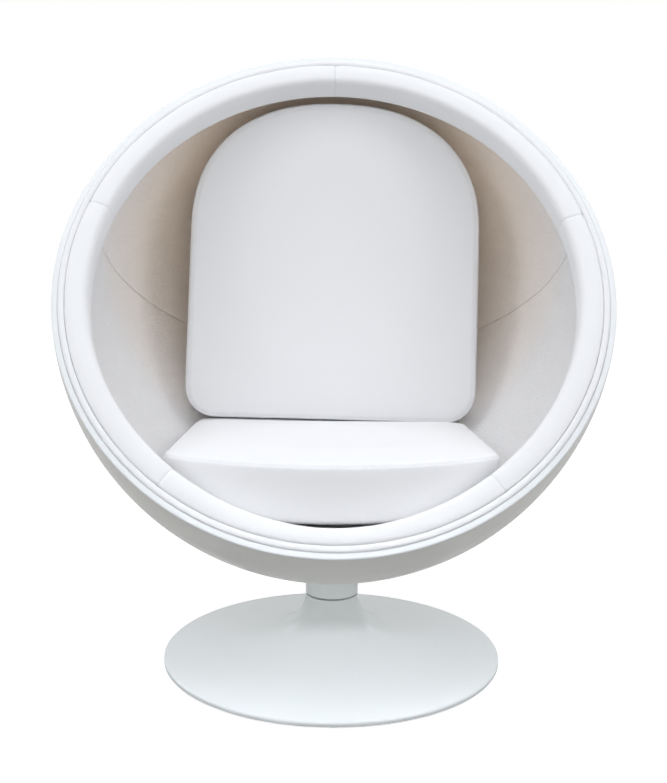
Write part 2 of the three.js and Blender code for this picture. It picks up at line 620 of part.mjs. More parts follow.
const FELT_TOP = FELT_THICKNESS;
const FOOT_PLATE_BOTTOM = FELT_TOP + TOUCH_GAP;
const FOOT_PLATE_TOP = FOOT_PLATE_BOTTOM + FOOT_PLATE_THICKNESS;
const COLUMN_BOTTOM = FOOT_PLATE_TOP + TOUCH_GAP;
const COLUMN_BORE = COLUMN_RADIUS - COLUMN_WALL;
const BUSHING_BORE = SPINDLE_RADIUS + 2 * TOUCH_GAP;
const LOWER_BUSHING_BOTTOM = SPINDLE_BOTTOM + TOUCH_GAP;
const RETAINER_TOP = SPINDLE_BOTTOM - TOUCH_GAP;
const RETAINER_BOTTOM = RETAINER_TOP - RETAINER_THICKNESS;

const columnTube = () => ring(COLUMN_BORE, COLUMN_RADIUS, COLUMN_BOTTOM, COLUMN_TOP, FINE_SEGMENTS);

const bushing = (bottom) => ring(BUSHING_BORE, COLUMN_BORE - TOUCH_GAP, bottom, bottom + BUSHING_LENGTH,
  FINE_SEGMENTS);

const retainingWasher = () => ring(RETAINING_SCREW_RADIUS + TOUCH_GAP, RETAINER_RADIUS, RETAINER_BOTTOM,
  RETAINER_TOP, FINE_SEGMENTS);

// The screw that holds the washer to the spindle points up, so it is drawn pointing down and turned over.
function retainingScrew() {
  const seat = RETAINER_BOTTOM - TOUCH_GAP;
  const tip = seat + RETAINING_SCREW_LENGTH;
  return hexScrew(RETAINING_SCREW_RADIUS, RETAINING_HEAD_RADIUS, RETAINING_HEAD_HEIGHT, -seat, -tip)
    .rotateX(HALF_TURN);
}

// The pedestal

const EDGE_TOP = FOOT_PLATE_BOTTOM + PEDESTAL_EDGE_HEIGHT;

const flank = new THREE.CubicBezierCurve(
  new THREE.Vector2(NECK_RADIUS, NECK_HEIGHT),
  new THREE.Vector2(NECK_FLARE_RADIUS, NECK_HEIGHT - NECK_FLARE_DROP),
  new THREE.Vector2(FOOT_SWEEP_RADIUS, FOOT_SWEEP_HEIGHT),
  new THREE.Vector2(PEDESTAL_RADIUS - PEDESTAL_EDGE_ROUNDING, EDGE_TOP),
);

// Height of the pedestal's upper surface at a radius
function flankHeight(radius) {
  const points = flank.getPoints(FLANK_FINE_STEPS);
  const next = points.findIndex((p) => p.x >= radius);
  const [a, b] = [points[next - 1], points[next]];
  return a.y + ((b.y - a.y) * (radius - a.x)) / (b.x - a.x);
}

function pedestal() {
  const ledgeHeight = FOOT_PLATE_TOP + TOUCH_GAP;
  const recess = FOOT_PLATE_RADIUS + TOUCH_GAP;
  const hubBottom = NECK_HEIGHT - HUB_LENGTH;
  const outer = Array.from({ length: FLANK_STEPS + 1 }, (_, i) => flank.getPoint(i / FLANK_STEPS));
  const innerSteps = FLANK_STEPS / 2;
  const inner = Array.from({ length: innerSteps + 1 }, (_, i) => {
    const t = i / innerSteps;
    const tangent = flank.getTangent(t);
    return flank.getPoint(t).add(new THREE.Vector2(tangent.y, -tangent.x).multiplyScalar(PEDESTAL_WALL));
  }).filter((p) => p.y < hubBottom && p.x < recess - FOOT_PLATE_LEDGE && p.y > ledgeHeight);
  const bore = COLUMN_RADIUS + TOUCH_GAP;
  const profile = [
    [bore, NECK_HEIGHT],
    [bore, hubBottom],
    [inner[0].x - PEDESTAL_WALL, hubBottom],
    ...inner.map((p) => [p.x, p.y]),
    [recess - FOOT_PLATE_LEDGE, ledgeHeight],
    [recess, ledgeHeight],
    [recess, FOOT_PLATE_BOTTOM],
    [PEDESTAL_RADIUS - PEDESTAL_EDGE_ROUNDING, FOOT_PLATE_BOTTOM],
    [PEDESTAL_RADIUS, FOOT_PLATE_BOTTOM + PEDESTAL_EDGE_ROUNDING],
    [PEDESTAL_RADIUS, EDGE_TOP - PEDESTAL_EDGE_ROUNDING],
    ...outer.reverse().map((p) => [p.x, p.y]),
    [bore, NECK_HEIGHT],
  ];
  let solid = solidOf(turned(profile, PEDESTAL_SEGMENTS));
  const bossTop = flankHeight(BASE_BOSS_CIRCLE + BASE_BOSS_RADIUS) - PEDESTAL_WALL / 2;
  places(BASE_SCREW_COUNT).forEach((angle) => {
    const boss = ring(BASE_SCREW_RADIUS + TOUCH_GAP, BASE_BOSS_RADIUS, ledgeHeight, bossTop, HOLE_SEGMENTS);
    solid = solid.add(solidOf(onCircle(boss, BASE_BOSS_CIRCLE, angle)));
  });
  return geometryOf(solid);
}

const baseFelt = () => ring(0, PEDESTAL_RADIUS - FELT_INSET, 0, FELT_TOP, PEDESTAL_SEGMENTS);

function footPlate() {
  let solid = solidOf(ring(ACCESS_HOLE_RADIUS, FOOT_PLATE_RADIUS, FOOT_PLATE_BOTTOM, FOOT_PLATE_TOP,
    PEDESTAL_SEGMENTS));
  places(BASE_SCREW_COUNT).forEach((angle) => {
    const shankHole = ring(0, BASE_SCREW_RADIUS + TOUCH_GAP, 0, FOOT_PLATE_TOP + CUT_OVERRUN, HOLE_SEGMENTS);
    const headHole = ring(0, BASE_SCREW_HEAD_RADIUS + TOUCH_GAP, 0,
      FOOT_PLATE_BOTTOM + BASE_SCREW_HEAD_HEIGHT + TOUCH_GAP, HOLE_SEGMENTS);
    solid = solid.subtract(solidOf(onCircle(shankHole, BASE_BOSS_CIRCLE, angle)));
    solid = solid.subtract(solidOf(onCircle(headHole, BASE_BOSS_CIRCLE, angle)));
  });
  return geometryOf(solid);
}

// The base screw points up, its cheese head sunk in the foot plate.
const baseScrew = () => turned([
  [0, FOOT_PLATE_BOTTOM],
  [BASE_SCREW_HEAD_RADIUS, FOOT_PLATE_BOTTOM],
  [BASE_SCREW_HEAD_RADIUS, FOOT_PLATE_BOTTOM + BASE_SCREW_HEAD_HEIGHT],
  [BASE_SCREW_RADIUS, FOOT_PLATE_BOTTOM + BASE_SCREW_HEAD_HEIGHT],
  [BASE_SCREW_RADIUS, FOOT_PLATE_BOTTOM + BASE_SCREW_LENGTH],
  [0, FOOT_PLATE_BOTTOM + BASE_SCREW_LENGTH],
], HOLE_SEGMENTS);

// The assembly: what stands still, the bearing's cage, and the pod, whose group is placed at the ball's
// centre

const base = new THREE.Group();
base.add(
  meshOf('pedestal', pedestal(), glossWhite()),
  meshOf('base_felt', baseFelt(), greyFelt()),
  meshOf('foot_plate', footPlate(), blackSteel()),
  meshOf('column_tube', columnTube(), blackSteel()),
  meshOf('upper_bushing', bushing(COLUMN_TOP - BUSHING_LENGTH), ivoryNylon()),
  meshOf('lower_bushing', bushing(LOWER_BUSHING_BOTTOM), ivoryNylon()),
  meshOf('lower_race', race(LOWER_RACE_TOP - RACE_THICKNESS), brightSteel()),
);
places(BASE_SCREW_COUNT).forEach((angle, i) => {
  base.add(meshOf(`base_screw_${i + 1}`, onCircle(baseScrew(), BASE_BOSS_CIRCLE, angle), brightSteel()));
});

const swivel = new THREE.Group();
swivel.add(
  meshOf('collar', collar(), glossWhite()),
  meshOf('swivel_plate', swivelPlate(), blackSteel()),
  meshOf('spindle', spindle(), brightSteel()),
  meshOf('backing_plate', backingPlate(), blackSteel()),
  meshOf('upper_race', race(UPPER_RACE_BOTTOM), brightSteel()),
  meshOf('retaining_washer', retainingWasher(), brightSteel()),
  meshOf('retaining_screw', retainingScrew(), brightSteel()),
);
places(BOLT_COUNT).forEach((angle, i) => {
  const bolt = onCircle(swivelBolt(), BOLT_CIRCLE_RADIUS, angle);
  swivel.add(meshOf(`swivel_bolt_${i + 1}`, bolt, brightSteel()));
});

const pod = new THREE.Group();
pod.position.z = BALL_CENTRE_HEIGHT;
pod.add(
  meshOf('shell', shell(), glossWhite()),
  meshOf('lining_upper', upperLining(), whiteFelt()),
  meshOf('lining_lower', lowerLining(), whiteFelt()),
  meshOf('tack_ring', tackRing(), birchPly()),
  meshOf('piping', piping(), whiteFelt()),
  meshOf('seat_cushion', seatCushion(), whiteFelt()),
  meshOf('back_cushion', backCushion(), whiteFelt()),
);
RIM_PADS.forEach(([name, from, to]) => pod.add(meshOf(name, rimPad(from, to), whiteFelt())));

const chair = new THREE.Group();
chair.add(base, meshOf('roller_cage', rollerCage(), brightSteel()), swivel, pod);

export default chair;
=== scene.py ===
"""Dresses the frame of a pod chair: a glossy ball cut open on a slant, lined and padded with pale wool
cloth, that turns on a trumpet-shaped pedestal. Lengths are in metres, +Z is up and the opening faces -Y."""

import json
import math

import bmesh
import bpy
from mathutils import Matrix, Vector, kdtree, noise


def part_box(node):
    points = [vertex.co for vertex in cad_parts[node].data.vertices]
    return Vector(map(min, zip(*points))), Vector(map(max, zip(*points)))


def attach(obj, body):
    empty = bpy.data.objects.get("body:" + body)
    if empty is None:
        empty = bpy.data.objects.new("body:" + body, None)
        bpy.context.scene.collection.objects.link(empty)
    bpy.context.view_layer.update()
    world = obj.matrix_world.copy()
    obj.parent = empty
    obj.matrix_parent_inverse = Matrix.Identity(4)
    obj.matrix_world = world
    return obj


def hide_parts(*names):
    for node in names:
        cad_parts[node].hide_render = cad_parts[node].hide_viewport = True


bl_info = {
    "name": "Pod Chair",
    "version": (1, 0, 0),
    "blender": (4, 5, 0),
    "location": "3D View > Sidebar > Pod Chair",
    "description": "Builds a padded ball-shaped swivel chair around its frame",
    "category": "Add Mesh",
}

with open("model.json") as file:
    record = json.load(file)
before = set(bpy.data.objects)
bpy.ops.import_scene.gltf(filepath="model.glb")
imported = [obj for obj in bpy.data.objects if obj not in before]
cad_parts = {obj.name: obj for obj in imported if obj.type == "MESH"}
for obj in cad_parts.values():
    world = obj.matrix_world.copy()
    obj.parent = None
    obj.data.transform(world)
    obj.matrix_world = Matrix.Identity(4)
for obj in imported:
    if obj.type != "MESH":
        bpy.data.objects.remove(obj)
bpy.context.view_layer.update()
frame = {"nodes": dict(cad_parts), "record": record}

MM = 0.001
QUARTER = math.pi / 2
TURN = 2 * math.pi
TINY = 1e-9
FIT = 0.3 * MM


def node_radius(node):
    """Half the width of a CAD node, which is the radius of a turned one."""
    low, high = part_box(node)
    return (high.x - low.x) / 2


def node_bottom(node):
    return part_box(node)[0].z


def node_top(node):
    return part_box(node)[1].z


# What a user would change


def length(name, default, description):
    return bpy.props.FloatProperty(
        name=name, description=description, default=default, unit="LENGTH", precision=4
    )


def share(name, default, description):
    return bpy.props.FloatProperty(name=name, description=description, default=default, subtype="FACTOR")


def angle(name, degrees, description):
    return bpy.props.FloatProperty(
        name=name, description=description, default=math.radians(degrees), subtype="ANGLE"
    )


def power(name, watts, description):
    return bpy.props.FloatProperty(name=name, description=description, default=watts, subtype="POWER")


def colour(name, default, description):
    return bpy.props.FloatVectorProperty(
        name=name, description=description, default=default, subtype="COLOR", size=3, min=0, max=1
    )


class PodSizes(bpy.types.PropertyGroup):
    """The ball, its opening and what trims the edge."""

    ball_radius: length("Ball radius", node_radius("shell"), "Outer radius of the ball")
    ball_height: length("Ball height", 0.728, "Height of the ball's centre above the floor")
    wall: length("Wall", 0.008, "Thickness of the shell")
    tilt: angle("Opening tilt", 32, "How far the opening leans back")
    offset: length("Opening offset", 0.086, "Distance of the opening's plane from the ball's centre")
    lip_rounding: length("Lip rounding", 0.003, "Radius of the shell's outer lip")
    lip_width: length("Lip width", 0.0084, "Flat width of the shell's lip")
    lip_edge: length("Lip edge", 0.0012, "Rounding of the lip's inner edge")
    lip_depth: length("Lip depth", 0.016, "Depth of the thick part of the lip")
    lip_taper: length("Lip taper", 0.010, "Length over which the lip thins to the wall")
    piping: length("Piping", 0.013, "Diameter of the welt beside the lip")
    piping_proud: length("Piping proud", 0.004, "How far the welt stands proud of the lip")
    pad_width: length("Rim pad width", 0.044, "Width of the rim pad, across its face")
    pad_depth: length("Rim pad depth", 0.058, "How far the rim pad reaches behind the lip")
    pad_crown: length("Rim pad crown", 0.007, "How far the rim pad stands proud of the lip")
    pad_squeeze: length("Rim pad squeeze", 0.012, "How far the seat narrows the rim pad under it")
    squeeze_reach: angle("Squeeze reach", 27, "How far round the rim the squeeze fades out")
    rim_seams: bpy.props.FloatVectorProperty(
        name="Rim seams",
        description="Clock angles of the rim pad's five seams, from the top one round by the right",
        default=[math.radians(clock) for clock in (0.15, 72.9, 144.4, 217.2, 289.6)],
        size=5,
        unit="ROTATION",
    )
    lining: length("Lining", 0.0277, "Thickness of the padded lining")
    lining_edge: length("Lining edge", 0.036, "Distance of the lining's edge from the ball's centre plane")
    lining_seam: length("Lining seam height", 0.153, "Height of the lining's seam plane, up the opening")
    lining_seam_slope: angle("Lining seam slope", 5, "Lean of the lining's seam plane")
    lining_turn: angle("Lining turn", 0.8, "How far round from true the lining was sewn")


class CushionSizes(bpy.types.PropertyGroup):
    """The seat cushion and the back cushion."""

    seat_top: length("Seat height", 0.457, "Height of the seat's top above the floor")
    seat_thickness: length("Seat thickness", 0.111, "Thickness of the seat cushion")
    seat_width: length("Seat width", 0.636, "Width of the seat cushion at its front corners")
    seat_rear_width: length("Seat rear width", 0.590, "Width of the seat cushion where its sides end")
    seat_reach: length("Seat reach", 0.289, "Distance of the seat's front from the swivel axis")
    seat_front: length("Seat front radius", 0.516, "Radius of the seat's bowed front, in plan")
    seat_corner: length("Seat corner", 0.034, "Radius of the seat's corners, in plan")
    seat_rise: length("Seat rise", 0.008, "How much the seat's front edge is raised")
    seat_fall: length("Seat fall", 0.010, "How much the seat sinks towards its rear")
    shift: length("Cushion shift", -0.004, "How far the cushions sit to one side")
    back_front: length("Back distance", 0.2245, "Distance of the back's face from the swivel axis")
    back_thickness: length("Back thickness", 0.112, "Thickness of the back cushion")
    back_width: length("Back width", 0.655, "Width of the back cushion at its bottom")
    back_shoulder_width: length("Back shoulder width", 0.642, "Width of the back cushion at its shoulders")
    back_shoulder_height: length("Back shoulder height", 0.420, "Height at which the back rounds over")
    back_fullness: share("Back fullness", 2.32, "How square the back's top is: 2 is an ellipse")
    back_height: length("Back cushion height", 0.707, "Height of the back cushion")
    back_bottom_corner: length("Back bottom corner", 0.072, "Radius of the back's bottom corners")
    back_turn: angle("Back turn", 1.3, "How far the back cushion has slumped to the right")
    back_sink: length("Back sink", 0.012, "How deep the back cushion presses into the seat")
    swell: length("Swell", 0.009, "How far the stuffing may push the cloth out")


class PedestalSizes(bpy.types.PropertyGroup):
    """The pedestal and the collar above it."""

    foot_radius: length("Foot radius", node_radius("pedestal"), "Radius of the pedestal's foot")
    neck_radius: length("Neck radius", 0.0527, "Radius of the pedestal's neck")
    wall: length("Pedestal wall", 0.005, "Wall of the pedestal")
    collar_radius: length("Collar radius", 0.053, "Radius of the collar under the ball")
    collar_flare: length("Collar flare", 0.007, "How far the collar flares where it meets the ball")


class ChairColours(bpy.types.PropertyGroup):
    """Colours of the finishes, as linear values."""

    gelcoat: colour("Gelcoat", (0.79, 0.77, 0.725), "White gloss of the ball")
    # The lip is the ball's own gelcoat painted lighter and cooler: painted light on the front-facing lip
    # band.
    lip: colour("Lip", (0.88, 0.90, 0.91), "White gloss of the polished lip")
    lacquer: colour("Lacquer", (0.88, 0.91, 0.91), "White gloss of the pedestal")
    cloth: colour("Wool cloth", (0.895, 0.905, 0.97), "Pale wool cloth of the piping, pads and cushions")
    # Lining cloth is the upholstery cloth painted lighter and less blue: painted light in the shaded bowl.
    lining: colour("Lining cloth", (0.97, 0.96, 0.96), "The same cloth, as it lines the bowl")
    # Deep cloth is painted warm shade deep in the bowl, standing for light bounced about the cloth, not
    # yellowed wool.
    deep_shade_cloth: colour("Deep cloth", (1.0, 0.84, 0.68), "The same cloth, yellowed deep in the bowl")
    # Thread is painted shade along the seams and their folds; it also tints the cloth's flecks.
    thread: colour("Thread", (0.62, 0.60, 0.59), "Shaded thread and folds in the seams")


class StudioSettings(bpy.types.PropertyGroup):
    """Camera, lamps and floor."""

    camera_distance: length("Camera distance", 2.314, "Distance of the camera from the swivel axis")
    camera_height: length("Camera height", 0.9293, "Height of the camera")
    camera_side: length("Camera side", -0.0012, "Sideways place of the camera")
    camera_azimuth: angle("Camera azimuth", -0.84, "Angle of the camera round the chair")
    camera_pitch: angle("Camera pitch", 4.81, "How far the camera looks down")
    camera_roll: angle("Camera roll", 0.457, "How far the camera leans to one side")
    lens: bpy.props.FloatProperty(
        name="Lens", description="Focal length", default=53.44, subtype="DISTANCE_CAMERA"
    )
    camera_shift: share("Camera shift", -0.120, "Vertical shift of the lens")
    key_power: power("Key power", 142, "Watts overhead")
    side_power: power("Side power", 34, "Watts of each of the two high side lamps")
    fill_power: power("Fill power", 1.5, "Watts in front")
    bowl_power: power("Bowl power", 0.48, "Watts aimed into the bowl")
    rear_power: power("Rear power", 1.4, "Watts of each of the two rear lamps")
    strip_power: power("Strip power", 0.6, "Watts of each of the two upright strips")
    foot_power: power("Foot power", 1.55, "Watts on the pedestal's foot")
    world_light: share("World light", 0.56, "Strength of the light from all round")
    floor_tone: share("Floor tone", 0.36, "How much light the floor throws back")
    floor_glow: share("Floor glow", 0.80, "How much white is added where the floor is seen or mirrored")


# Shader maths


class Value:
    """A socket of a node: arithmetic on it adds Math nodes."""

    def __init__(self, graph, socket):
        self.graph = graph
        self.socket = socket

    def math(self, operation, *numbers):
        return self.graph.node("ShaderNodeMath", {"operation": operation}, dict(enumerate(numbers)))

    def other(self, name):
        """Another output of the same node."""
        return Value(self.graph, self.socket.node.outputs[name])

    def __add__(self, other):
        return self.math("ADD", self, other)

    def __sub__(self, other):
        return self.math("SUBTRACT", self, other)

    def __rsub__(self, other):
        return self.math("SUBTRACT", other, self)

    def __mul__(self, other):
        return self.math("MULTIPLY", self, other)

    def __pow__(self, other):
        return self.math("POWER", self, other)

    def __rpow__(self, other):
        return self.math("POWER", other, self)

    def __abs__(self):
        return self.math("ABSOLUTE", self)

    def sine(self):
        return self.math("SINE", self)

    def clamped(self):
        return self.graph.node("ShaderNodeClamp", {}, {0: self})

    __radd__ = __add__
    __rmul__ = __mul__


class Graph:
    """The nodes of a finish or of the sky."""

    def __init__(self, tree):
        self.tree = tree
        self.tree.nodes.clear()

    def node(self, kind, settings, inputs, output=0):
        """Adds a node with its settings and inputs, and returns one of its outputs, if it has any."""
        node = self.tree.nodes.new(kind)
        for key, value in settings.items():
            setattr(node, key, value)
        for key, value in inputs.items():
            if isinstance(value, Value):
                self.tree.links.new(value.socket, node.inputs[key])
            else:
                node.inputs[key].default_value = value
        return Value(self, node.outputs[output]) if node.outputs else None


class Finish(Graph):
    """A material in the making, with patterns fixed to the piece."""

    def __init__(self, name):
        self.material = bpy.data.materials.new(name)
        self.material.use_nodes = True
        super().__init__(self.material.node_tree)
        self.place = self.node("ShaderNodeTexCoord", {}, {}, output="Object")

    def mottle(self, size, detail=2.0, roughness=0.5):
        """Soft noise from 0 to 1 whose blotches have one size, or one along each axis."""
        sizes = size if isinstance(size, tuple) else (size, size, size)
        vector = self.node("ShaderNodeVectorMath", {"operation": "DIVIDE"}, {0: self.place, 1: sizes})
        inputs = {"Vector": vector, "Scale": 1.0, "Detail": detail, "Roughness": roughness}
        return self.node("ShaderNodeTexNoise", {}, inputs)

    def split(self, vector):
        x = self.node("ShaderNodeSeparateXYZ", {}, {0: vector}, output="X")
        return x, x.other("Y"), x.other("Z")

    def along(self, direction):
        """How far a point lies along a direction."""
        settings = {"operation": "DOT_PRODUCT"}
        return self.node("ShaderNodeVectorMath", settings, {0: self.place, 1: direction}, output="Value")

    def blend(self, factor, first, second):
        """A colour between two others."""
        inputs = {0: factor, 6: opaque(first), 7: opaque(second)}
        return self.node("ShaderNodeMix", {"data_type": "RGBA"}, inputs, output=2)

    def bump(self, height, distance, strength=1.0, normal=None):
        inputs = {"Height": height, "Distance": distance, "Strength": strength}
        if normal is not None:
            inputs["Normal"] = normal
        return self.node("ShaderNodeBump", {}, inputs)

    def surface(self, **inputs):
        """Joins the finish to a Principled shader and returns the finished material."""
        named = {key.replace("_", " ").title().replace("Ior", "IOR"): value for key, value in inputs.items()}
        return self.output(self.node("ShaderNodeBsdfPrincipled", {}, named))

    def output(self, shader):
        self.node("ShaderNodeOutputMaterial", {}, {"Surface": shader})
        return self.material


def opaque(colour_or_value):
    return colour_or_value if isinstance(colour_or_value, Value) else (*colour_or_value[:3], 1.0)


def scaled(base, share):
    """A colour at a share of its brightness."""
    return [channel * share for channel in base]


# Finishes


def gloss_white(name, base, roughness, far, direction, start, reach):
    """Polished gelcoat or lacquer: a very faint waviness, a little haze and a few dull scuffs. From a start
    along a direction, it goes over to a far colour within a reach: the painted light of the ball's lip and
    the painted shade at the pedestal's foot."""
    finish = Finish(name)
    haze = finish.mottle(90 * MM, detail=4.0)
    wave = finish.mottle(200 * MM)
    grain = finish.mottle(1.2 * MM, detail=1.0)
    scuffs = finish.mottle((12 * MM, 9 * MM, 4 * MM), detail=5.0, roughness=0.7)
    scuff = ((scuffs - 0.66) * 9).clamped()
    hazed = finish.blend((haze * 0.35 + scuff * 0.3).clamped(), base, scaled(base, 0.96))
    past = ((finish.along(direction) - start) * (1 / reach)).clamped()
    return finish.surface(
        base_color=finish.blend(past, hazed, far),
        roughness=(haze * 0.05 + scuff * 0.12 + roughness).clamped(),
        normal=finish.bump(grain, 0.02 * MM, 0.2, finish.bump(wave, 0.5 * MM, 0.12)),
        specular_ior_level=0.0,
        coat_weight=0.3,
        coat_roughness=0.03,
    )


def plain_weave(finish, pitch):
    """The height of a plain weave, made on each side from the two threads that lie in it."""
    normal = finish.node("ShaderNodeNewGeometry", {}, {}, output="Normal")
    facing = [abs(part) ** 4 for part in finish.split(normal)]
    thread = [(part * (TURN / pitch)).sine() for part in finish.split(finish.place)]
    crossings = (thread[1] * thread[2], thread[2] * thread[0], thread[0] * thread[1])
    return crossings[0] * facing[0] + crossings[1] * facing[1] + crossings[2] * facing[2]


def deep_shade_share(finish, pod):
    """Share of painted warm shade, 0 at the bowl's opening and 1 deep in it, along a line running rearward
    and a little up.
    """
    rise = 0.35
    steepness = 2.05
    start = 0.58
    depth = finish.along((0, 1, rise)) - rise * pod.centre.z
    return (depth * (steepness / pod.room) - start).clamped()


def wool_cloth(name, base, thread, deep=None, pod=None):
    """Felted wool in a fine plain weave, with soft slubs along X and painted shade along its seams. Given a
    pod, it goes over to a deep colour far down the bowl, which is painted warm shade."""
    finish = Finish(name)
    weave = plain_weave(finish, 1.6 * MM)
    slub = finish.mottle((26 * MM, 6 * MM, 3.5 * MM), detail=3.0, roughness=0.6)
    fuzz = finish.mottle(1.5 * MM, detail=3.0, roughness=0.7)
    patch = finish.mottle(120 * MM)
    seam = finish.node("ShaderNodeAttribute", {"attribute_name": "seam"}, {}, output="Fac")
    if pod is not None:
        # Painted warm shade deep in the bowl.
        base = finish.blend(deep_shade_share(finish, pod), base, deep)
    flecked = finish.blend((patch * 0.02 + slub * 0.09 + fuzz * 0.06).clamped(), base, thread)
    woven = finish.bump(weave, 0.2 * MM, 0.5)
    slubbed = finish.bump(slub, 4 * MM, 0.75, woven)
    return finish.surface(
        # Painted shade along the seams.
        base_color=finish.blend((seam * 0.8).clamped(), flecked, thread),
        roughness=(0.86 + slub * 0.10).clamped(),
        normal=finish.bump(fuzz, 0.6 * MM, 0.35, slubbed),
        sheen_weight=0.25,
        sheen_roughness=0.5,
        specular_ior_level=0.25,
    )


def turned_steel(name, base=(0.56, 0.57, 0.58)):
    """Lathe-turned steel: fine rings about the swivel axis and faint stains."""
    finish = Finish(name)
    x, y, z = finish.split(finish.place)
    rings = (((x * x + y * y) ** 0.5 + z) * (TURN / (0.7 * MM))).sine()
    stain = finish.mottle(10 * MM, detail=4.0)
    return finish.surface(
        base_color=finish.blend((stain * 0.6).clamped(), base, scaled(base, 0.8)),
        metallic=1.0,
        roughness=(0.24 + stain * 0.16).clamped(),
        normal=finish.bump(rings, 0.03 * MM, 0.4),
    )


def powder_coat(name, base=(0.012, 0.012, 0.013)):
    """Matt black powder coat with its fine orange peel, rubbed lighter in places."""
    finish = Finish(name)
    peel = finish.mottle(0.9 * MM)
    rubbed = finish.mottle(20 * MM, detail=5.0)
    return finish.surface(
        base_color=finish.blend((rubbed * 0.5).clamped(), base, scaled(base, 2.4)),
        roughness=(0.48 + rubbed * 0.2).clamped(),
        normal=finish.bump(peel, 0.12 * MM, 0.5),
    )


def natural_nylon(name, base=(0.69, 0.65, 0.54)):
    """Machined nylon, slightly cloudy."""
    finish = Finish(name)
    cloud = finish.mottle(8 * MM, detail=3.0)
    return finish.surface(
        base_color=finish.blend((cloud * 0.7).clamped(), base, scaled(base, 0.86)),
        roughness=(0.38 + cloud * 0.2).clamped(),
        normal=finish.bump(cloud, 0.2 * MM, 0.3),
    )


def birch_edge(name, base=(0.62, 0.43, 0.24)):
    """Bent plywood: thin plies seen at the edge and a fine grain."""
    finish = Finish(name)
    grain = finish.mottle((30 * MM, 1.5 * MM, 30 * MM), detail=5.0)
    plies = finish.node(
        "ShaderNodeTexWave", {"bands_direction": "Z"}, {"Scale": 300.0, "Distortion": 0.6}
    )
    return finish.surface(
        base_color=finish.blend((grain * 0.6 + plies * 0.3).clamped(), base, scaled(base, 0.62)),
        roughness=(0.7 + grain * 0.2).clamped(),
        normal=finish.bump(grain, 0.3 * MM),
    )


def pressed_felt(name, base=(0.085, 0.09, 0.095)):
    """Dense grey felt with matted fibres."""
    finish = Finish(name)
    fibre = finish.mottle((4 * MM, 0.8 * MM, 2 * MM), detail=5.0, roughness=0.7)
    return finish.surface(
        base_color=finish.blend(fibre, scaled(base, 0.6), scaled(base, 1.6)),
        roughness=0.97,
        normal=finish.bump(fibre, 0.8 * MM),
        sheen_weight=0.3,
    )


# Meshes


def closed_mesh(name, vertices, faces, sharp=35):
    """A mesh from lists, with its faces turned outward and its edges smooth below an angle in degrees."""
    mesh = bpy.data.meshes.new(name)
    mesh.from_pydata(vertices, [], faces)
    work = bmesh.new()
    work.from_mesh(mesh)
    bmesh.ops.recalc_face_normals(work, faces=work.faces)
    if work.calc_volume(signed=True) < 0:
        bmesh.ops.reverse_faces(work, faces=work.faces)
    work.to_mesh(mesh)
    work.free()
    smooth(mesh, sharp)
    return mesh


def smooth(mesh, sharp=35):
    """Smooth shading, with edges sharp from an angle in degrees."""
    mesh.shade_smooth()
    mesh.set_sharp_from_angle(angle=math.radians(sharp))


def turned(name, profile, place, segments):
    """A turned solid from a closed loop of (radius, height) pairs, set by place(radius, angle, height)."""
    vertices, rows = [], []
    for radius, height in profile:
        start = len(vertices)
        if radius < TINY:
            rows.append([start] * segments)
            vertices.append(place(0, 0, height))
        else:
            rows.append(range(start, start + segments))
            vertices += [place(radius, TURN * i / segments, height) for i in range(segments)]
    faces = []
    for lower, upper in zip(rows, rows[1:] + rows[:1]):
        for i in range(segments):
            j = (i + 1) % segments
            corners = list(dict.fromkeys((lower[i], lower[j], upper[j], upper[i])))
            if len(corners) > 2:
                faces.append(corners)
    return closed_mesh(name, vertices, faces)


def upright(radius, turn, height):
    """A point by its radius, angle and height about the swivel axis."""
    return Vector((radius * math.sin(turn), -radius * math.cos(turn), height))


def clamp(value):
    return min(max(value, 0), 1)


def fade(distance, reach, sharpness=1):
    """1 at no distance, falling towards 0 past a reach, the more sharply the higher the sharpness."""
    return math.exp(-((distance / reach) ** sharpness))


def arc(centre, radius, start, end, steps):
    """Points of an arc, with angles measured from the first axis towards the second."""
    angles = [start + (end - start) * i / steps for i in range(steps + 1)]
    return [(centre[0] + radius * math.cos(a), centre[1] + radius * math.sin(a)) for a in angles]


def bezier(controls, steps):
    """Points of a smooth curve that leaves its first control point for the next and ends at its last."""
    curve = []
    for i in range(steps + 1):
        points = controls
        while len(points) > 1:
            points = [point.lerp(after, i / steps) for point, after in zip(points, points[1:])]
        curve.append(tuple(points[0]))
    return curve


def filleted(corners, steps=4):
    """A closed outline of (first, second, rounding) corners, with each corner rounded off."""
    points = []
    for i, (x, y, rounding) in enumerate(corners):
        here = Vector((x, y))
        if rounding == 0:
            points.append(tuple(here))
            continue
        before = Vector(corners[i - 1][:2]) - here
        after = Vector(corners[(i + 1) % len(corners)][:2]) - here
        start = here + before.normalized() * min(rounding, before.length / 2)
        end = here + after.normalized() * min(rounding, after.length / 2)
        points += bezier([start, here, end], steps)
    return points


def grid_faces(rows, columns, wrap_rows=True):
    """Quads over rows of points, each row closed on itself."""
    faces = []
    for i in range(rows if wrap_rows else rows - 1):
        for k in range(columns):
            a, b = i * columns, ((i + 1) % rows) * columns
            n = (k + 1) % columns
            faces.append((a + k, a + n, b + n, b + k))
    return faces


def capped_mesh(name, first, rows, last, sharp=35):
    """A closed mesh over rows of points, each row closed on itself, that comes to a point at both ends."""
    columns = len(rows[0])
    vertices = [first] + [point for row in rows for point in row] + [last]
    end = len(vertices) - 1
    grid = grid_faces(len(rows), columns, wrap_rows=False)
    faces = [tuple(1 + index for index in face) for face in grid]
    for i in range(columns):
        j = (i + 1) % columns
        faces.append((0, 1 + j, 1 + i))
        faces.append((end, end - columns + i, end - columns + j))
    return closed_mesh(name, vertices, faces, sharp)


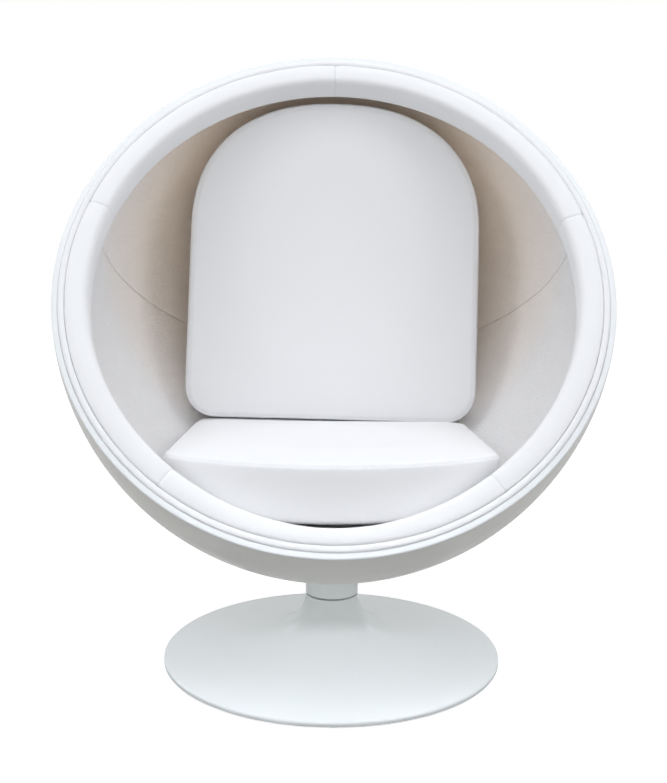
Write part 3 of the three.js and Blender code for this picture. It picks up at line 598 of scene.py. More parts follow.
def applied(obj):
    """The object's mesh as its modifiers leave it."""
    graph = bpy.context.evaluated_depsgraph_get()
    return bpy.data.meshes.new_from_object(obj.evaluated_get(graph), depsgraph=graph)


def linked(name, mesh):
    obj = bpy.data.objects.new(name, mesh)
    bpy.context.scene.collection.objects.link(obj)
    return obj


def with_modifiers(mesh, *recipes):
    """A mesh passed through modifiers, each given as a type and its settings."""
    obj = linked("work_in_hand", mesh)
    for kind, settings in recipes:
        modifier = obj.modifiers.new(kind, kind)
        for key, value in settings.items():
            setattr(modifier, key, value)
    result = applied(obj)
    bpy.data.objects.remove(obj)
    return result


def combined(mesh, *steps):
    """A mesh joined with or cut by others, each given as an operation and a mesh."""
    tools = [linked(f"cutter_{i}", other) for i, (_, other) in enumerate(steps)]
    recipes = [
        ("BOOLEAN", {"operation": operation, "object": tool, "solver": "EXACT"})
        for (operation, _), tool in zip(steps, tools)
    ]
    result = with_modifiers(mesh, *recipes)
    for tool in tools:
        bpy.data.objects.remove(tool)
    smooth(result)
    return result


def dress(name, mesh, body, material, node):
    """Makes a piece that rides on a body and stands for a CAD node."""
    mesh.name = name
    mesh.materials.clear()
    mesh.materials.append(material)
    piece = linked(name, mesh)
    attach(piece, body)
    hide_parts(node)
    return piece


# The pod


class Pod:
    """Places and radii of the pod that several pieces share."""

    def __init__(self, sizes):
        self.sizes = sizes
        self.centre = Vector((0, 0, sizes.ball_height))
        self.outward = Vector((0, -math.cos(sizes.tilt), math.sin(sizes.tilt)))
        self.up = Vector((0, math.sin(sizes.tilt), math.cos(sizes.tilt)))
        self.inner = sizes.ball_radius - sizes.wall
        self.rounding_plane = sizes.offset - sizes.lip_rounding
        self.lip_outer = math.sqrt(sizes.ball_radius**2 - self.rounding_plane**2) - sizes.lip_rounding
        self.lip_inner = self.lip_outer - sizes.lip_width
        self.piping_centre = self.lip_inner - FIT - sizes.piping / 2
        self.pad_outer = self.piping_centre - sizes.piping / 2 - FIT
        self.pad_inner = self.pad_outer - sizes.pad_width
        self.lining_outer = self.inner - FIT
        self.room = self.lining_outer - sizes.lining - FIT

    def at(self, radius, clock, depth):
        """A point by its radius, its clock angle from the top and its distance out of the opening."""
        flat = self.up * (radius * math.cos(clock)) + Vector((radius * math.sin(clock), 0, 0))
        return self.centre + flat + self.outward * depth

    def opening_angle(self):
        return math.asin(self.rounding_plane / self.sizes.ball_radius)

    def inside(self, point):
        """The point, drawn in to the lined room where it lies outside."""
        arm = point - self.centre
        return self.centre + arm * (self.room / arm.length) if arm.length > self.room else point


def shell_mesh(pod):
    s = pod.sizes
    outer = arc((0, 0), s.ball_radius, -QUARTER, pod.opening_angle(), 110)[:-1]
    lip = arc((pod.lip_outer, pod.rounding_plane), s.lip_rounding, 0, QUARTER, 8)
    rear = s.offset - s.lip_depth
    corners = [(pod.lip_outer, s.offset, 0), (pod.lip_inner, s.offset, s.lip_edge), (pod.lip_inner, rear, 0)]
    start = math.asin((rear - s.lip_taper) / pod.inner)
    inner = arc((0, 0), pod.inner, start, -QUARTER, 90)
    return turned("shell", outer + lip + filleted(corners)[1:] + inner, pod.at, segments=256)


def boss_mesh(pod):
    """The flats inside and under the ball that the swivel plate and its backing plate seat on."""
    margin = 1 * MM
    overlap = 2 * MM
    low = node_top("swivel_plate") + FIT
    high = node_bottom("backing_plate") - FIT
    outer_radius = node_radius("swivel_plate") + margin
    inner_radius = node_radius("backing_plate") + margin
    step = pod.centre.z - pod.sizes.ball_radius + pod.sizes.wall / 2 + overlap
    profile = [
        (0, low),
        (outer_radius, low),
        (outer_radius, step),
        (inner_radius, step),
        (inner_radius, high),
        (0, high),
    ]
    return turned("boss", profile, upright, segments=64)


def piping_mesh(pod):
    """The welt: a cord in cloth, a little square between its neighbours and uneven where it is sewn."""
    s = pod.sizes
    depth = s.offset + s.piping_proud - s.piping / 2
    squareness = 0.75
    unevenness = 0.03
    lumps = 24
    steps, sides = 720, 20
    vertices = []
    for i in range(steps):
        clock = TURN * i / steps
        for k in range(sides):
            turn = TURN * k / sides
            radius = s.piping / 2 * (1 + unevenness * noise.noise(Vector((clock * lumps, turn, 0))))
            across, out = (
                math.copysign(abs(part) ** squareness, part) * radius
                for part in (math.cos(turn), math.sin(turn))
            )
            vertices.append(pod.at(pod.piping_centre + across, clock, depth + out))
    return closed_mesh("piping", vertices, grid_faces(steps, sides), sharp=180)


def pad_section(pod, width):
    """The rim pad's section as (radius, depth) points: a full crown, a soft inner edge and a flat rear."""
    s = pod.sizes
    front = s.offset + s.pad_crown
    rear = s.offset - s.pad_depth
    ledge = s.offset - s.lip_depth - s.lip_taper
    outer = pod.pad_outer
    inner = outer - width
    rear_outer = outer - 9 * MM
    corners = [
        (outer, ledge, 2 * MM),
        (outer, front - 3 * MM, 5 * MM),
        (outer - width * 0.33, front, 7 * MM),
        (inner, front - 2 * MM, 17 * MM),
        (inner - 0.3 * MM, (front + rear) / 2, 10 * MM),
        (inner + 2 * MM, rear, 12 * MM),
        (rear_outer, rear, 3 * MM),
        (rear_outer, ledge, 0),
    ]
    return filleted(corners, steps=7)


def pad_stations(run):
    """Where the rim pad's sections lie along its run, close together towards its two seams."""
    spacing = 5 * MM
    near_seam = [0, 0.5 * MM, 1.0 * MM, 1.7 * MM, 2.6 * MM, 4 * MM, 6.5 * MM, 10 * MM]
    end = near_seam[-1]
    steps = max(int(run / spacing), 8)
    middle = [end + (run - 2 * end) * i / steps for i in range(1, steps)]
    return near_seam + middle + [run - station for station in reversed(near_seam)]


def rim_pad_mesh(pod, start, end, seed):
    """One length of the rim pad, drawn in a little at its seams and narrower where the seat presses on it."""
    s = pod.sizes
    gap = 0.15 * MM / pod.pad_inner
    run = (end - start) * pod.pad_inner
    stations = pad_stations(run)
    vertices, marks = [], []
    for station in stations:
        clock = start + gap + (end - start - 2 * gap) * station / run
        near = min(station, run - station)
        width = s.pad_width - s.pad_squeeze * fade(abs(clock - math.pi), s.squeeze_reach, 2)
        heart = Vector((pod.pad_outer - width * 0.5, s.offset - s.pad_depth * 0.5))
        pinch = 1.3 * MM * fade(near, 2.2 * MM, 1.3) + 0.6 * MM * fade(near, 18 * MM)
        for x, y in pad_section(pod, width):
            point = Vector((x, y))
            ripple = noise.noise(Vector((station * 30, x * 50, y * 50 + seed)))
            pucker = noise.noise(Vector((station * 12, x * 260, y * 260 + seed))) * fade(near, 14 * MM)
            front = clamp((y - heart.y) / (20 * MM))
            grow = (0.5 * MM * (ripple + pucker) - pinch) * (0.25 + 0.75 * front)
            point += (point - heart).normalized() * grow
            vertices.append(pod.at(point.x, clock, point.y))
            # Seam marks for painted shade at the pad's ends.
            marks.append(fade(near, 1.1 * MM, 2))
    count = len(vertices) // len(stations)
    faces = grid_faces(len(stations), count, wrap_rows=False)
    faces.append(tuple(range(count)))
    faces.append(tuple(range(len(vertices) - count, len(vertices))))
    mesh = closed_mesh("rim_pad", vertices, faces, sharp=60)
    mark_seam_shade(mesh, marks)
    return mesh


def mark_seam_shade(mesh, marks):
    """Says how near each vertex is to a seam, from 0 to 1, for the finish to paint shade along it."""
    mesh.attributes.new("seam", "FLOAT", "POINT").data.foreach_set("value", marks)


def lining_axes(pod):
    """The axis that the lining turns about, square to its seam, and two directions across it."""
    slope = pod.sizes.lining_seam_slope
    turn = pod.sizes.lining_turn
    up = pod.up * math.cos(turn) + Vector((math.sin(turn), 0, 0))
    axis = (up * math.cos(slope) - pod.outward * math.sin(slope)).normalized()
    side = axis.cross(pod.outward).normalized()
    return axis, side, axis.cross(side)


def lining_mesh(pod, upper):
    """The upper or lower part of the lining, as a cap from its pole to the turned-in seam."""
    axis, side, other = lining_axes(pod)
    skin = pod.room + FIT
    seam = math.acos(pod.sizes.lining_seam * math.cos(pod.sizes.lining_seam_slope) / skin)
    pole, toward, span, rings = (0, 1, seam, 70) if upper else (math.pi, -1, math.pi - seam, 100)
    edge = span - 0.35 * MM / skin
    fold = 2.6 * MM / skin
    segments = 240

    def place(arm, turn, radius):
        polar = pole + toward * arm
        across = side * math.cos(turn) + other * math.sin(turn)
        direction = axis * math.cos(polar) + across * math.sin(polar)
        if radius < pod.lining_outer - MM:
            radius -= 0.9 * MM * noise.noise(direction * 9) + 0.4 * MM * noise.noise(direction * 36)
        return pod.centre + direction * radius

    arms = [span * i / rings for i in range(1, rings + 1)]
    arms = [arm for arm in arms if arm < edge - fold]
    path = [(arm, skin) for arm in arms]
    for t in (QUARTER * i / 5 for i in range(6)):
        path.append((edge - fold + fold * math.sin(t), skin + fold * skin * (1 - math.cos(t))))
    path.append((edge, pod.lining_outer - 0.01 * MM))
    path += [(arm, pod.lining_outer) for arm in reversed(arms)]
    turns = [TURN * i / segments for i in range(segments)]
    rows = [[place(arm, turn, radius) for turn in turns] for arm, radius in path]
    return capped_mesh("lining", place(0, 0, skin), rows, place(0, 0, pod.lining_outer), sharp=50)


def block(centre, axes, half):
    """A plain block to cut with, given by its centre, its three axes and its half sizes."""
    low = [(-1, -1, -1), (1, -1, -1), (1, 1, -1), (-1, 1, -1)]
    high = [(x, y, 1) for x, y, _ in low]
    vertices = [
        centre + sum((axis * (size * sign) for axis, size, sign in zip(axes, half, corner)), Vector())
        for corner in low + high
    ]
    faces = [(0, 3, 2, 1), (4, 5, 6, 7), (0, 1, 5, 4), (1, 2, 6, 5), (2, 3, 7, 6), (3, 0, 4, 7)]
    return closed_mesh("block", vertices, faces)


def lining_cutters(pod):
    """What the lining is cut by: all that lies past its edge, and the hole for the backing plate."""
    reach = pod.sizes.ball_radius
    beyond = pod.centre + pod.outward * (pod.sizes.lining_edge + reach)
    front = block(beyond, (Vector((1, 0, 0)), pod.up, pod.outward), (2 * reach, 2 * reach, reach))
    radius = node_radius("backing_plate") + 10 * MM
    low = pod.centre.z - reach
    high = low + 120 * MM
    hole = turned("hole", [(0, low), (radius, low), (radius, high), (0, high)], upright, segments=96)
    return ("DIFFERENCE", front), ("DIFFERENCE", hole)


# The cushions


def seat_outline(sizes, pod):
    """The seat's plan, anticlockwise from its front: a bowed front, sides that draw in and a round rear."""
    corner = sizes.seat_corner
    centre_y = sizes.seat_front - sizes.seat_reach
    corner_x = sizes.seat_width / 2 - corner
    corner_y = centre_y - math.sqrt((sizes.seat_front - corner) ** 2 - corner_x**2)
    front_turn = math.atan2(corner_y - centre_y, corner_x)
    level = sizes.seat_top - sizes.seat_thickness / 2 - pod.centre.z
    rear = math.sqrt(pod.room**2 - level**2)
    rear_x = sizes.seat_rear_width / 2 - corner
    rear_y = math.sqrt((rear - corner) ** 2 - rear_x**2)
    rear_turn = math.atan2(rear_y, rear_x)
    side_turn = math.atan2(corner_x - rear_x, rear_y - corner_y)
    front = arc((0, centre_y), sizes.seat_front, -QUARTER, front_turn, 24)
    front += arc((corner_x, corner_y), corner, front_turn, side_turn, 10)[1:]
    rear_run = arc((rear_x, rear_y), corner, side_turn, rear_turn, 10)
    rear_run += arc((0, 0), rear, rear_turn, QUARTER, 24)[1:]
    return mirrored(front + between(front[-1], rear_run[0], 24) + rear_run)


def between(start, end, steps):
    """Points that divide a straight line, without its two ends."""
    start, end = Vector(start), Vector(end)
    return [tuple(start.lerp(end, i / steps)) for i in range(1, steps)]


def mirrored(right):
    """A closed outline from its right half, which starts and ends on the middle line."""
    return right + [(-x, y) for x, y in reversed(right[1:-1])]


def back_outline(sizes):
    """The back's outline, drawn upright from its bottom edge: straight sides and a full round top."""
    corner = sizes.back_bottom_corner
    bottom_x = sizes.back_width / 2 - corner
    half = sizes.back_shoulder_width / 2
    shoulder = sizes.back_shoulder_height
    lean = math.atan2(sizes.back_width / 2 - half, shoulder - corner)
    rise = sizes.back_height - shoulder
    fullness = 2 / sizes.back_fullness
    steps = 60
    bottom = arc((bottom_x, corner), corner, -QUARTER, lean, 14)
    top = []
    for turn in (QUARTER * i / steps for i in range(steps)):
        top.append((half * math.cos(turn) ** fullness, shoulder + rise * math.sin(turn) ** fullness))
    top.append((0, sizes.back_height))
    right = [(0, 0)] + between((0, 0), bottom[0], 20) + bottom + between(bottom[-1], top[0], 24) + top
    return mirrored(right)


def outward_normals(points):
    """The outward direction at each point of a closed outline that runs anticlockwise."""
    normals = []
    for before, after in zip(points[-1:] + points[:-1], points[1:] + points[:1]):
        along = after - before
        normals.append(Vector((along.y, -along.x)).normalized())
    return normals


def cushion_blank(outline, levels, crown_low, crown_high, place):
    """A boxed cushion over an outline. Levels are (height, inset) pairs from its underside to its top, and
    the two faces rise by their crowns towards the middle."""
    count = len(outline)
    middle = Vector((sum(x for x, _ in outline) / count, sum(y for _, y in outline) / count))
    points = [Vector(point) for point in outline]
    normals = outward_normals(points)
    shares = [0.12, 0.25, 0.4, 0.55, 0.7, 0.82, 0.91, 0.97]
    fullness = 2.6

    def ring(inset):
        return [point - normal * inset for point, normal in zip(points, normals)]

    def face_row(height, inset, share, crown):
        rise = crown * (1 - share**fullness)
        return [place(*(middle + (point - middle) * share), height + rise) for point in ring(inset)]

    bottom, top = levels[0], levels[-1]
    rows = [face_row(*bottom, share, -crown_low) for share in shares]
    rows += [[place(*point, height) for point in ring(inset)] for height, inset in levels]
    rows += [face_row(*top, share, crown_high) for share in reversed(shares)]
    first = place(*middle, bottom[0] - crown_low)
    last = place(*middle, top[0] + crown_high)
    return capped_mesh("cushion", first, rows, last)


def seam_line(outline, height, inset, place):
    """The run of a seam round an outline, as closely spaced points."""
    spacing = 2 * MM
    points = [Vector(point) for point in outline]
    line = []
    for point, after, normal in zip(points, points[1:] + points[:1], outward_normals(points)):
        start = point - normal * inset
        steps = max(int((after - point).length / spacing), 1)
        line += [place(*(start + (after - point) * k / steps), height) for k in range(steps)]
    return line


def nearest(points):
    """A tree that finds the nearest of the points."""
    tree = kdtree.KDTree(len(points))
    for i, point in enumerate(points):
        tree.insert(point, i)
    tree.balance()
    return tree


def blown_up(body, seams, cap):
    """The body with its cloth held along the seams and pressed out by its stuffing, within a cap."""
    held_reach = 4.5 * MM
    frames = 20
    start = [vertex.co.copy() for vertex in body.vertices]
    tree = nearest(seams)
    cushion = linked("cushion_in_hand", body)
    held = cushion.vertex_groups.new(name="held")
    held.add([v.index for v in body.vertices if tree.find(v.co)[2] < held_reach], 1.0, "REPLACE")
    cloth = cushion.modifiers.new("cloth", "CLOTH")
    cloth.settings.quality = 4
    cloth.settings.mass = 0.4
    cloth.settings.tension_stiffness = 12
    cloth.settings.compression_stiffness = 12
    cloth.settings.bending_stiffness = 1.5
    cloth.settings.use_pressure = True
    cloth.settings.uniform_pressure_force = 4
    cloth.settings.vertex_group_mass = held.name
    cloth.settings.effector_weights.gravity = 0
    cloth.point_cache.frame_start = 1
    cloth.point_cache.frame_end = frames
    for step in range(1, frames + 1):
        bpy.context.scene.frame_set(step)
    blown = applied(cushion)
    bpy.context.scene.frame_set(1)
    bpy.data.objects.remove(cushion)
    for vertex, origin in zip(blown.vertices, start):
        move = vertex.co - origin
        if move.length > cap:
            vertex.co = origin + move * (cap / move.length)
    return blown


def stuffed(blank, seams, cap):
    """The blank remeshed, blown up as cloth over stuffing and smoothed."""
    body = with_modifiers(blank, ("REMESH", {"mode": "VOXEL", "voxel_size": 5.5 * MM}))
    body = blown_up(body, seams, cap)
    return with_modifiers(
        body,
        ("SMOOTH", {"factor": 0.5, "iterations": 3}),
        ("SUBSURF", {"levels": 1, "render_levels": 1}),
    )


def sew(mesh, seams, groove):
    """Draws the cloth in along its seams, with small gathers beside them, and marks the seams for painted
    shade.
    """
    pucker = 0.6 * MM
    tree = nearest(seams)
    marks = []
    normals = [vertex.normal.copy() for vertex in mesh.vertices]
    for vertex, normal in zip(mesh.vertices, normals):
        _, index, gap = tree.find(vertex.co)
        marks.append(fade(gap, 2.4 * MM, 2))
        long_gather = noise.noise(Vector((index * 0.16, 0, 3.7)))
        short_gather = noise.noise(Vector((index * 0.45, 0, 9.1)))
        depth = groove * (fade(gap, 2.6 * MM, 2) + 0.5 * fade(gap, 9 * MM))
        depth += pucker * (long_gather + 0.6 * short_gather) * fade(gap, 14 * MM)
        vertex.co -= normal * depth
    mark_seam_shade(mesh, marks)
    smooth(mesh, 180)


def boxed_cushion(outline, levels, crowns, seams, groove, swell, place):
    """A cushion, stuffed and sewn. Its levels and its seams are (height, inset) pairs."""
    blank = cushion_blank(outline, levels, *crowns, place)
    line = [point for height, inset in seams for point in seam_line(outline, height, inset, place)]
    mesh = stuffed(blank, line, swell)
    sew(mesh, line, groove)
    return mesh


def seat_cushion_mesh(sizes, pod):
    """The seat: a boxed cushion with a firm front, cut round to lie in the bowl."""
    bottom = sizes.seat_top - sizes.seat_thickness
    thick = sizes.seat_thickness
    front_crown = 8 * MM

    def place(x, y, height):
        return Vector((x + sizes.shift, y, bottom + height))

    levels = [
        (3 * MM, 9 * MM),
        (9 * MM, 3 * MM),
        (thick * 0.3, 1 * MM),
        (thick * 0.55, 0.5 * MM),
        (thick * 0.8, 1 * MM),
        (thick - 7 * MM, 1.5 * MM),
        (thick - 3 * MM, 6 * MM),
    ]
    crowns = (2 * MM, 4 * MM)
    seams = [(thick - 6 * MM, 2.5 * MM), (4 * MM, 8 * MM)]
    mesh = boxed_cushion(seat_outline(sizes, pod), levels, crowns, seams, 2.0 * MM, sizes.swell, place)
    for vertex in mesh.vertices:
        vertex.co = pod.inside(vertex.co)
        top = seat_height(sizes, vertex.co)
        frontward = clamp(1 - rearward_share(sizes, vertex.co))
        vertex.co.z += (top - sizes.seat_top) * clamp((vertex.co.z - bottom) / thick)
        vertex.co.z = min(vertex.co.z, top + front_crown * frontward)
    return mesh


def rearward_share(sizes, point):
    """0 at the seat's front edge and 1 at the face of the back cushion."""
    return (point.y + sizes.seat_reach) / (sizes.back_front + sizes.seat_reach)


def seat_height(sizes, point):
    """Height of the seat's top. It leans back, and the back cushion presses it down, more to the right."""
    onset = 40 * MM
    middle_press = 0.7
    rearward = rearward_share(sizes, point)
    under_back = clamp((point.y - sizes.back_front) / onset + 1)
    pressed = sizes.back_sink * (middle_press + point.x / sizes.seat_width) * under_back
    return sizes.seat_top + sizes.seat_rise * (1 - rearward) - sizes.seat_fall * rearward - pressed


def back_cushion_mesh(sizes, pod):
    """The back: a boxed cushion that stands on the seat, leans on the lining and has slumped to one side."""
    thick = sizes.back_thickness
    tuck = 22 * MM
    slump = Matrix.Rotation(sizes.back_turn, 3, "Y")
    foot = Vector((sizes.shift, sizes.back_front + thick, sizes.seat_top + FIT - tuck))

    def place(x, y, depth):
        return foot + slump @ Vector((x, -depth, y))

    levels = [
        (9 * MM, 14 * MM),
        (15 * MM, 8 * MM),
        (thick * 0.4, 4 * MM),
        (thick * 0.7, 4 * MM),
        (thick - 15 * MM, 5 * MM),
        (thick - 8 * MM, 8 * MM),
        (thick - 5 * MM, 12 * MM),
    ]
    crowns = (2 * MM, 3 * MM)
    seams = [(thick - 5 * MM, 12 * MM), (11 * MM, 12 * MM)]
    mesh = boxed_cushion(back_outline(sizes), levels, crowns, seams, 1.8 * MM, sizes.swell, place)
    for vertex in mesh.vertices:
        vertex.co = pod.inside(vertex.co)
        vertex.co.z = max(vertex.co.z, seat_height(sizes, vertex.co) + FIT)
    return mesh


# The pedestal


def flank_points(sizes, edge_top, neck_top):
    """The pedestal's upper surface, as (radius, height) points from the neck to the rim."""
    neck = Vector((sizes.neck_radius, neck_top))
    throat = Vector((58 * MM, neck_top - 71 * MM))
    skirt = Vector((150 * MM, 38 * MM))
    rim = Vector((sizes.foot_radius - 2.5 * MM, edge_top))
    return bezier([neck, throat, skirt, rim], 72)


def pedestal_mesh(sizes):
    """The trumpet foot with its rounded edge, its hollow underside and the hub that holds the column."""
    edge_height = 10 * MM
    hub_height = 34 * MM
    ledge_width = 10 * MM
    bottom = node_bottom("pedestal")
    neck_top = node_top("pedestal")
    edge_top = bottom + edge_height
    hub = neck_top - hub_height
    ledge = node_top("foot_plate") + FIT
    recess = node_radius("foot_plate") + FIT
    bore = node_radius("column_tube") + FIT
    outer = [Vector(point) for point in flank_points(sizes, edge_top, neck_top)]
    inner = []
    for before, here, after in zip(outer, outer[1:], outer[2:]):
        along = (after - before).normalized()
        point = here + Vector((along.y, -along.x)) * sizes.wall
        if ledge < point.y < hub and point.x < recess - ledge_width:
            inner.append(tuple(point))
    rim = filleted([
        (recess, bottom, 0),
        (sizes.foot_radius, bottom, 2.5 * MM),
        (sizes.foot_radius, edge_top, 3.5 * MM),
        (*outer[-6], 0),
    ], steps=6)
    crest = filleted([
        (*outer[3], 0),
        (sizes.neck_radius, neck_top, 1.6 * MM),
        (bore, neck_top, 0.8 * MM),
        (bore, hub, 0),
    ], steps=5)
    flank = [tuple(point) for point in reversed(outer[4:-5])]
    underside = inner + [(recess - ledge_width, ledge), (recess, ledge)]
    return turned("pedestal", rim[:-1] + flank + crest + underside, upright, segments=192)


def collar_mesh(sizes, pod):
    """The collar: a short sleeve that flares into the underside of the ball."""
    radius = sizes.collar_radius
    bore = radius - 4 * MM
    seat = node_radius("swivel_plate") + FIT
    crest = seat + 1 * MM
    pocket_top = node_top("swivel_plate")
    pocket_bottom = node_bottom("swivel_plate") + 6 * MM
    bottom = node_bottom("collar")

    def ball_at(distance):
        return pod.centre.z - math.sqrt((pod.sizes.ball_radius + FIT) ** 2 - distance**2)

    top = Vector((radius + sizes.collar_flare, ball_at(radius + sizes.collar_flare)))
    start = Vector((radius, top.y - 14 * MM))
    flare = bezier([start, Vector((radius + 0.5 * MM, top.y - 1 * MM)), top], 12)
    sleeve = filleted([(bore, bottom, 0.8 * MM), (radius, bottom, 1.5 * MM), (*start, 0)], steps=4)
    pocket = [
        (crest, ball_at(crest)),
        (crest, pocket_top),
        (seat, pocket_top),
        (seat, pocket_bottom),
        (bore, pocket_bottom - 4 * MM),
    ]
    return turned("collar", sleeve + flare[1:] + pocket, upright, segments=128)


# The studio

WHITE = (1.0, 1.0, 1.0, 1.0)
SKY_TINT = (0.985, 0.99, 1.0, 1.0)
LAMP_TINT = (0.915, 0.95, 1.0)
# Name, place, target, size, spread in degrees, and the setting that holds its power
LAMPS = (
    ("overhead", (-0.2, -1.05, 6.5), (0, -0.05, 0.6), (5.6, 4.4), 180, "key_power"),
    ("foot", (0, -2.3, 1.8), (0, -0.3, 0), (3.0, 0.3), 18, "foot_power"),
    ("left_high", (-3.6, -2.0, 3.4), (0, -0.1, 0.45), (1.8, 1.8), 180, "side_power"),
    ("right_high", (3.6, -2.0, 3.4), (0, -0.1, 0.45), (1.8, 1.8), 180, "side_power"),
    ("left_rear", (-2.6, 3.2, 3.4), (0, 0.1, 1.0), (1.8, 1.8), 18, "rear_power"),
    ("right_rear", (2.6, 3.2, 3.4), (0, 0.1, 1.0), (1.8, 1.8), 18, "rear_power"),
    ("bowl", (0, -3.4, 1.7), (0, 0.1, 0.82), (1.4, 1.0), 26, "bowl_power"),
    ("front", (0.3, -3.4, 2.1), (0, 0, 0.5), (2.4, 1.8), 180, "fill_power"),
    ("left_strip", (-1.6, -2.4, 1.5), (0, 0, 0.4), (0.2, 1.4), 180, "strip_power"),
    ("right_strip", (1.9, -2.2, 1.5), (0, 0, 0.4), (0.2, 1.4), 180, "strip_power"),
)


def shown_share(graph):
    """1 for rays from the camera, mirrored rays and rays through glass, and 0 for all others."""
    seen = graph.node("ShaderNodeLightPath", {}, {}, output="Is Camera Ray")
    return (seen + seen.other("Is Glossy Ray") + seen.other("Is Transmission Ray")).clamped()


def studio_white(name, tone, glow):
    """A floor that is white to the camera and in reflections, keeps shadows, and throws back less light."""
    finish = Finish(name)
    matt = finish.node("ShaderNodeBsdfDiffuse", {}, {"Color": (tone, tone, tone, 1.0)})
    glowing = finish.node("ShaderNodeEmission", {}, {"Color": WHITE, "Strength": glow})
    lit = finish.node("ShaderNodeAddShader", {}, {0: matt, 1: glowing})
    return finish.output(finish.node("ShaderNodeMixShader", {}, {0: shown_share(finish), 1: matt, 2: lit}))


def make_floor(settings):
    reach = 6.0
    vertices = [(-reach, -reach, 0), (reach, -reach, 0), (reach, reach, 0), (-reach, reach, 0)]
    mesh = bpy.data.meshes.new("floor")
    mesh.from_pydata(vertices, [], [(0, 1, 2, 3)])
    mesh.materials.append(studio_white("floor_white", settings.floor_tone, settings.floor_glow))
    linked("floor", mesh)


def make_world(settings):
    """White to the camera and in reflections, and a softer neutral light on everything else."""
    world = bpy.data.worlds.new("studio")
    world.use_nodes = True
    bpy.context.scene.world = world
    sky = Graph(world.node_tree)
    soft = sky.node("ShaderNodeBackground", {}, {"Color": SKY_TINT, "Strength": settings.world_light})
    white = sky.node("ShaderNodeBackground", {}, {"Color": WHITE, "Strength": 1.0})
    mixed = sky.node("ShaderNodeMixShader", {}, {0: shown_share(sky), 1: soft, 2: white})
    sky.node("ShaderNodeOutputWorld", {}, {"Surface": mixed})


def make_lamp(name, place, target, size, spread, power):
    data = bpy.data.lights.new(name, "AREA")
    data.shape = "RECTANGLE"
    data.size, data.size_y = size
    data.energy = power
    data.spread = math.radians(spread)
    data.color = LAMP_TINT
    lamp = linked(name, data)
    lamp.location = place
    lamp.rotation_euler = (Vector(target) - Vector(place)).to_track_quat("-Z", "Y").to_euler()


def make_camera(settings):
    data = bpy.data.cameras.new("camera")
    data.sensor_fit = "AUTO"
    data.sensor_width = 36.0
    data.lens = settings.lens
    data.shift_y = settings.camera_shift
    camera = linked("camera", data)
    spin = Matrix.Rotation(settings.camera_azimuth, 4, "Z")
    place = Matrix.Translation((settings.camera_side, -settings.camera_distance, settings.camera_height))
    pitch = Matrix.Rotation(QUARTER - settings.camera_pitch, 4, "X")
    roll = Matrix.Rotation(settings.camera_roll, 4, "Z")
    camera.matrix_world = spin @ place @ (pitch @ roll)
    bpy.context.scene.camera = camera


# Operators


def upholstery_cloth(context):
    """The one cloth that the piping, the rim pads and the cushions are cut from."""
    colours = context.scene.podchair_colours
    return bpy.data.materials.get("wool_cloth") or wool_cloth("wool_cloth", colours.cloth, colours.thread)


class PODCHAIR_OT_stage(bpy.types.Operator):
    """Make the floor, the lamps, the world and the camera"""

    bl_idname = "podchair.stage"
    bl_label = "Stage"

    def execute(self, context):
        settings = context.scene.podchair_studio
        context.scene.view_settings.view_transform = "Standard"
        make_floor(settings)
        make_world(settings)
        for name, place, target, size, spread, setting in LAMPS:
            make_lamp(name, place, target, size, spread, getattr(settings, setting))
        make_camera(settings)
        return {"FINISHED"}


class PODCHAIR_OT_shell(bpy.types.Operator):
    """Mould the ball with its lip and its bosses"""

    bl_idname = "podchair.shell"
    bl_label = "Shell"

    def execute(self, context):
        pod = Pod(context.scene.podchair_pod)
        colours = context.scene.podchair_colours
        # Past the lip's plane the gelcoat turns to the lip colour, which is painted light.
        lip_start = pod.centre.dot(pod.outward) + pod.rounding_plane
        gelcoat = gloss_white(
            "gelcoat", colours.gelcoat, 0.08, colours.lip, pod.outward, lip_start, reach=0.5 * MM
        )
        mesh = combined(shell_mesh(pod), ("UNION", boss_mesh(pod)))
        dress("moulded_shell", mesh, "pod", gelcoat, "shell")
        return {"FINISHED"}


class PODCHAIR_OT_pedestal(bpy.types.Operator):
    """Turn the pedestal and the collar above it"""

    bl_idname = "podchair.pedestal"
    bl_label = "Pedestal and collar"

    def execute(self, context):
        sizes = context.scene.podchair_pedestal
        pod = Pod(context.scene.podchair_pod)
        white = context.scene.podchair_colours.lacquer
        # Painted shade: the lacquer darkens over the foot's lowest few millimetres, next to the floor.
        foot_rim_shade = scaled(white, 0.72)
        foot_rim_shade_height = 11 * MM
        lacquer = gloss_white("lacquer", white, 0.10, foot_rim_shade, (0, 0, -1), -foot_rim_shade_height, reach=4 * MM)
        dress("trumpet_pedestal", pedestal_mesh(sizes), "base", lacquer, "pedestal")
        dress("flared_collar", collar_mesh(sizes, pod), "pod", lacquer, "collar")
        return {"FINISHED"}


class PODCHAIR_OT_lining(bpy.types.Operator):
    """Line the bowl in two parts"""

    bl_idname = "podchair.lining"
    bl_label = "Lining"

    def execute(self, context):
        pod = Pod(context.scene.podchair_pod)
        colours = context.scene.podchair_colours
        # The lining is the upholstery wool, painted lighter, and painted warm shade deep in the bowl.
        cloth = wool_cloth("lining_cloth", colours.lining, colours.thread, colours.deep_shade_cloth, pod)
        for name, upper in (("lining_upper", True), ("lining_lower", False)):
            mesh = combined(lining_mesh(pod, upper), *lining_cutters(pod))
            piece = dress(f"padded_{name}", mesh, "pod", cloth, name)
        return {"FINISHED"}


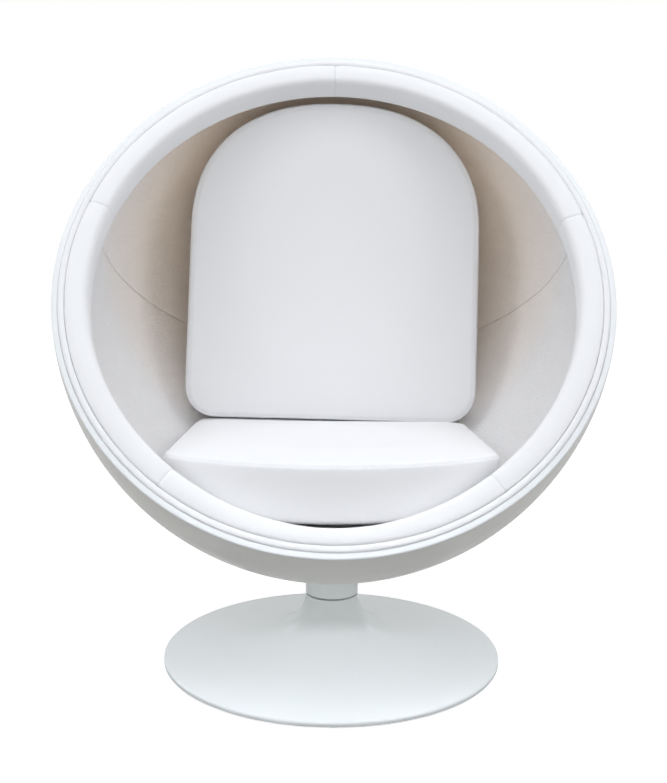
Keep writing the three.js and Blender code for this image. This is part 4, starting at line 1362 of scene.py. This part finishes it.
class PODCHAIR_OT_rim(bpy.types.Operator):
    """Sew the piping and the five lengths of the rim pad"""

    bl_idname = "podchair.rim"
    bl_label = "Piping and rim pads"

    def execute(self, context):
        pod = Pod(context.scene.podchair_pod)
        cloth = upholstery_cloth(context)
        dress("sewn_piping", piping_mesh(pod), "pod", cloth, "piping")
        seams = list(pod.sizes.rim_seams)
        ends = seams[1:] + [seams[0] + TURN]
        names = ("upper_right", "side_right", "bottom", "side_left", "upper_left")
        for seed, (name, start, end) in enumerate(zip(names, seams, ends)):
            mesh = rim_pad_mesh(pod, start, end, 10 * seed)
            piece = dress(f"stuffed_rim_{name}", mesh, "pod", cloth, f"rim_pad_{name}")
        return {"FINISHED"}


class PODCHAIR_OT_cushions(bpy.types.Operator):
    """Stuff and sew the seat cushion and the back cushion"""

    bl_idname = "podchair.cushions"
    bl_label = "Cushions"

    def execute(self, context):
        sizes = context.scene.podchair_cushions
        pod = Pod(context.scene.podchair_pod)
        cloth = upholstery_cloth(context)
        cushions = {"seat": seat_cushion_mesh, "back": back_cushion_mesh}
        for name, make_mesh in cushions.items():
            mesh = make_mesh(sizes, pod)
            piece = dress(f"stuffed_{name}", mesh, "pod", cloth, f"{name}_cushion")
        return {"FINISHED"}


class PODCHAIR_OT_workings(bpy.types.Operator):
    """Finish the parts inside the pedestal, under the ball and behind the trim"""

    bl_idname = "podchair.workings"
    bl_label = "Workings"

    def execute(self, context):
        finishes = {
            "bright_steel": turned_steel("turned_steel"),
            "black_steel": powder_coat("powder_coat"),
            "nylon": natural_nylon("natural_nylon"),
            "birch_plywood": birch_edge("birch_edge"),
            "floor_felt": pressed_felt("pressed_felt"),
        }
        for part in frame["record"]["subparts"]:
            material = finishes.get(part["material_slot"])
            if material is not None:
                mesh = frame["nodes"][part["node"]].data
                mesh.materials.clear()
                mesh.materials.append(material)
        return {"FINISHED"}


class PODCHAIR_PT_panel(bpy.types.Panel):
    """The pod chair's pieces and sizes"""

    bl_idname = "PODCHAIR_PT_panel"
    bl_label = "Pod Chair"
    bl_space_type = "VIEW_3D"
    bl_region_type = "UI"
    bl_category = "Pod Chair"

    def draw(self, context):
        for operator in OPERATORS:
            self.layout.operator(operator.bl_idname)
        for name in GROUPS:
            group = getattr(context.scene, name)
            box = self.layout.box()
            for key in group.__annotations__:
                box.prop(group, key)


OPERATORS = (
    PODCHAIR_OT_stage,
    PODCHAIR_OT_shell,
    PODCHAIR_OT_pedestal,
    PODCHAIR_OT_lining,
    PODCHAIR_OT_rim,
    PODCHAIR_OT_cushions,
    PODCHAIR_OT_workings,
)
GROUPS = {
    "podchair_pod": PodSizes,
    "podchair_cushions": CushionSizes,
    "podchair_pedestal": PedestalSizes,
    "podchair_colours": ChairColours,
    "podchair_studio": StudioSettings,
}


def register():
    for group in GROUPS.values():
        bpy.utils.register_class(group)
    for name, group in GROUPS.items():
        setattr(bpy.types.Scene, name, bpy.props.PointerProperty(type=group))
    for operator in OPERATORS:
        bpy.utils.register_class(operator)
    bpy.utils.register_class(PODCHAIR_PT_panel)


def unregister():
    bpy.utils.unregister_class(PODCHAIR_PT_panel)
    for operator in reversed(OPERATORS):
        bpy.utils.unregister_class(operator)
    for name, group in GROUPS.items():
        delattr(bpy.types.Scene, name)
        bpy.utils.unregister_class(group)


def main():
    register()
    for operator in OPERATORS:
        category, name = operator.bl_idname.split(".")
        getattr(getattr(bpy.ops, category), name)()


if __name__ == "__main__":
    main()
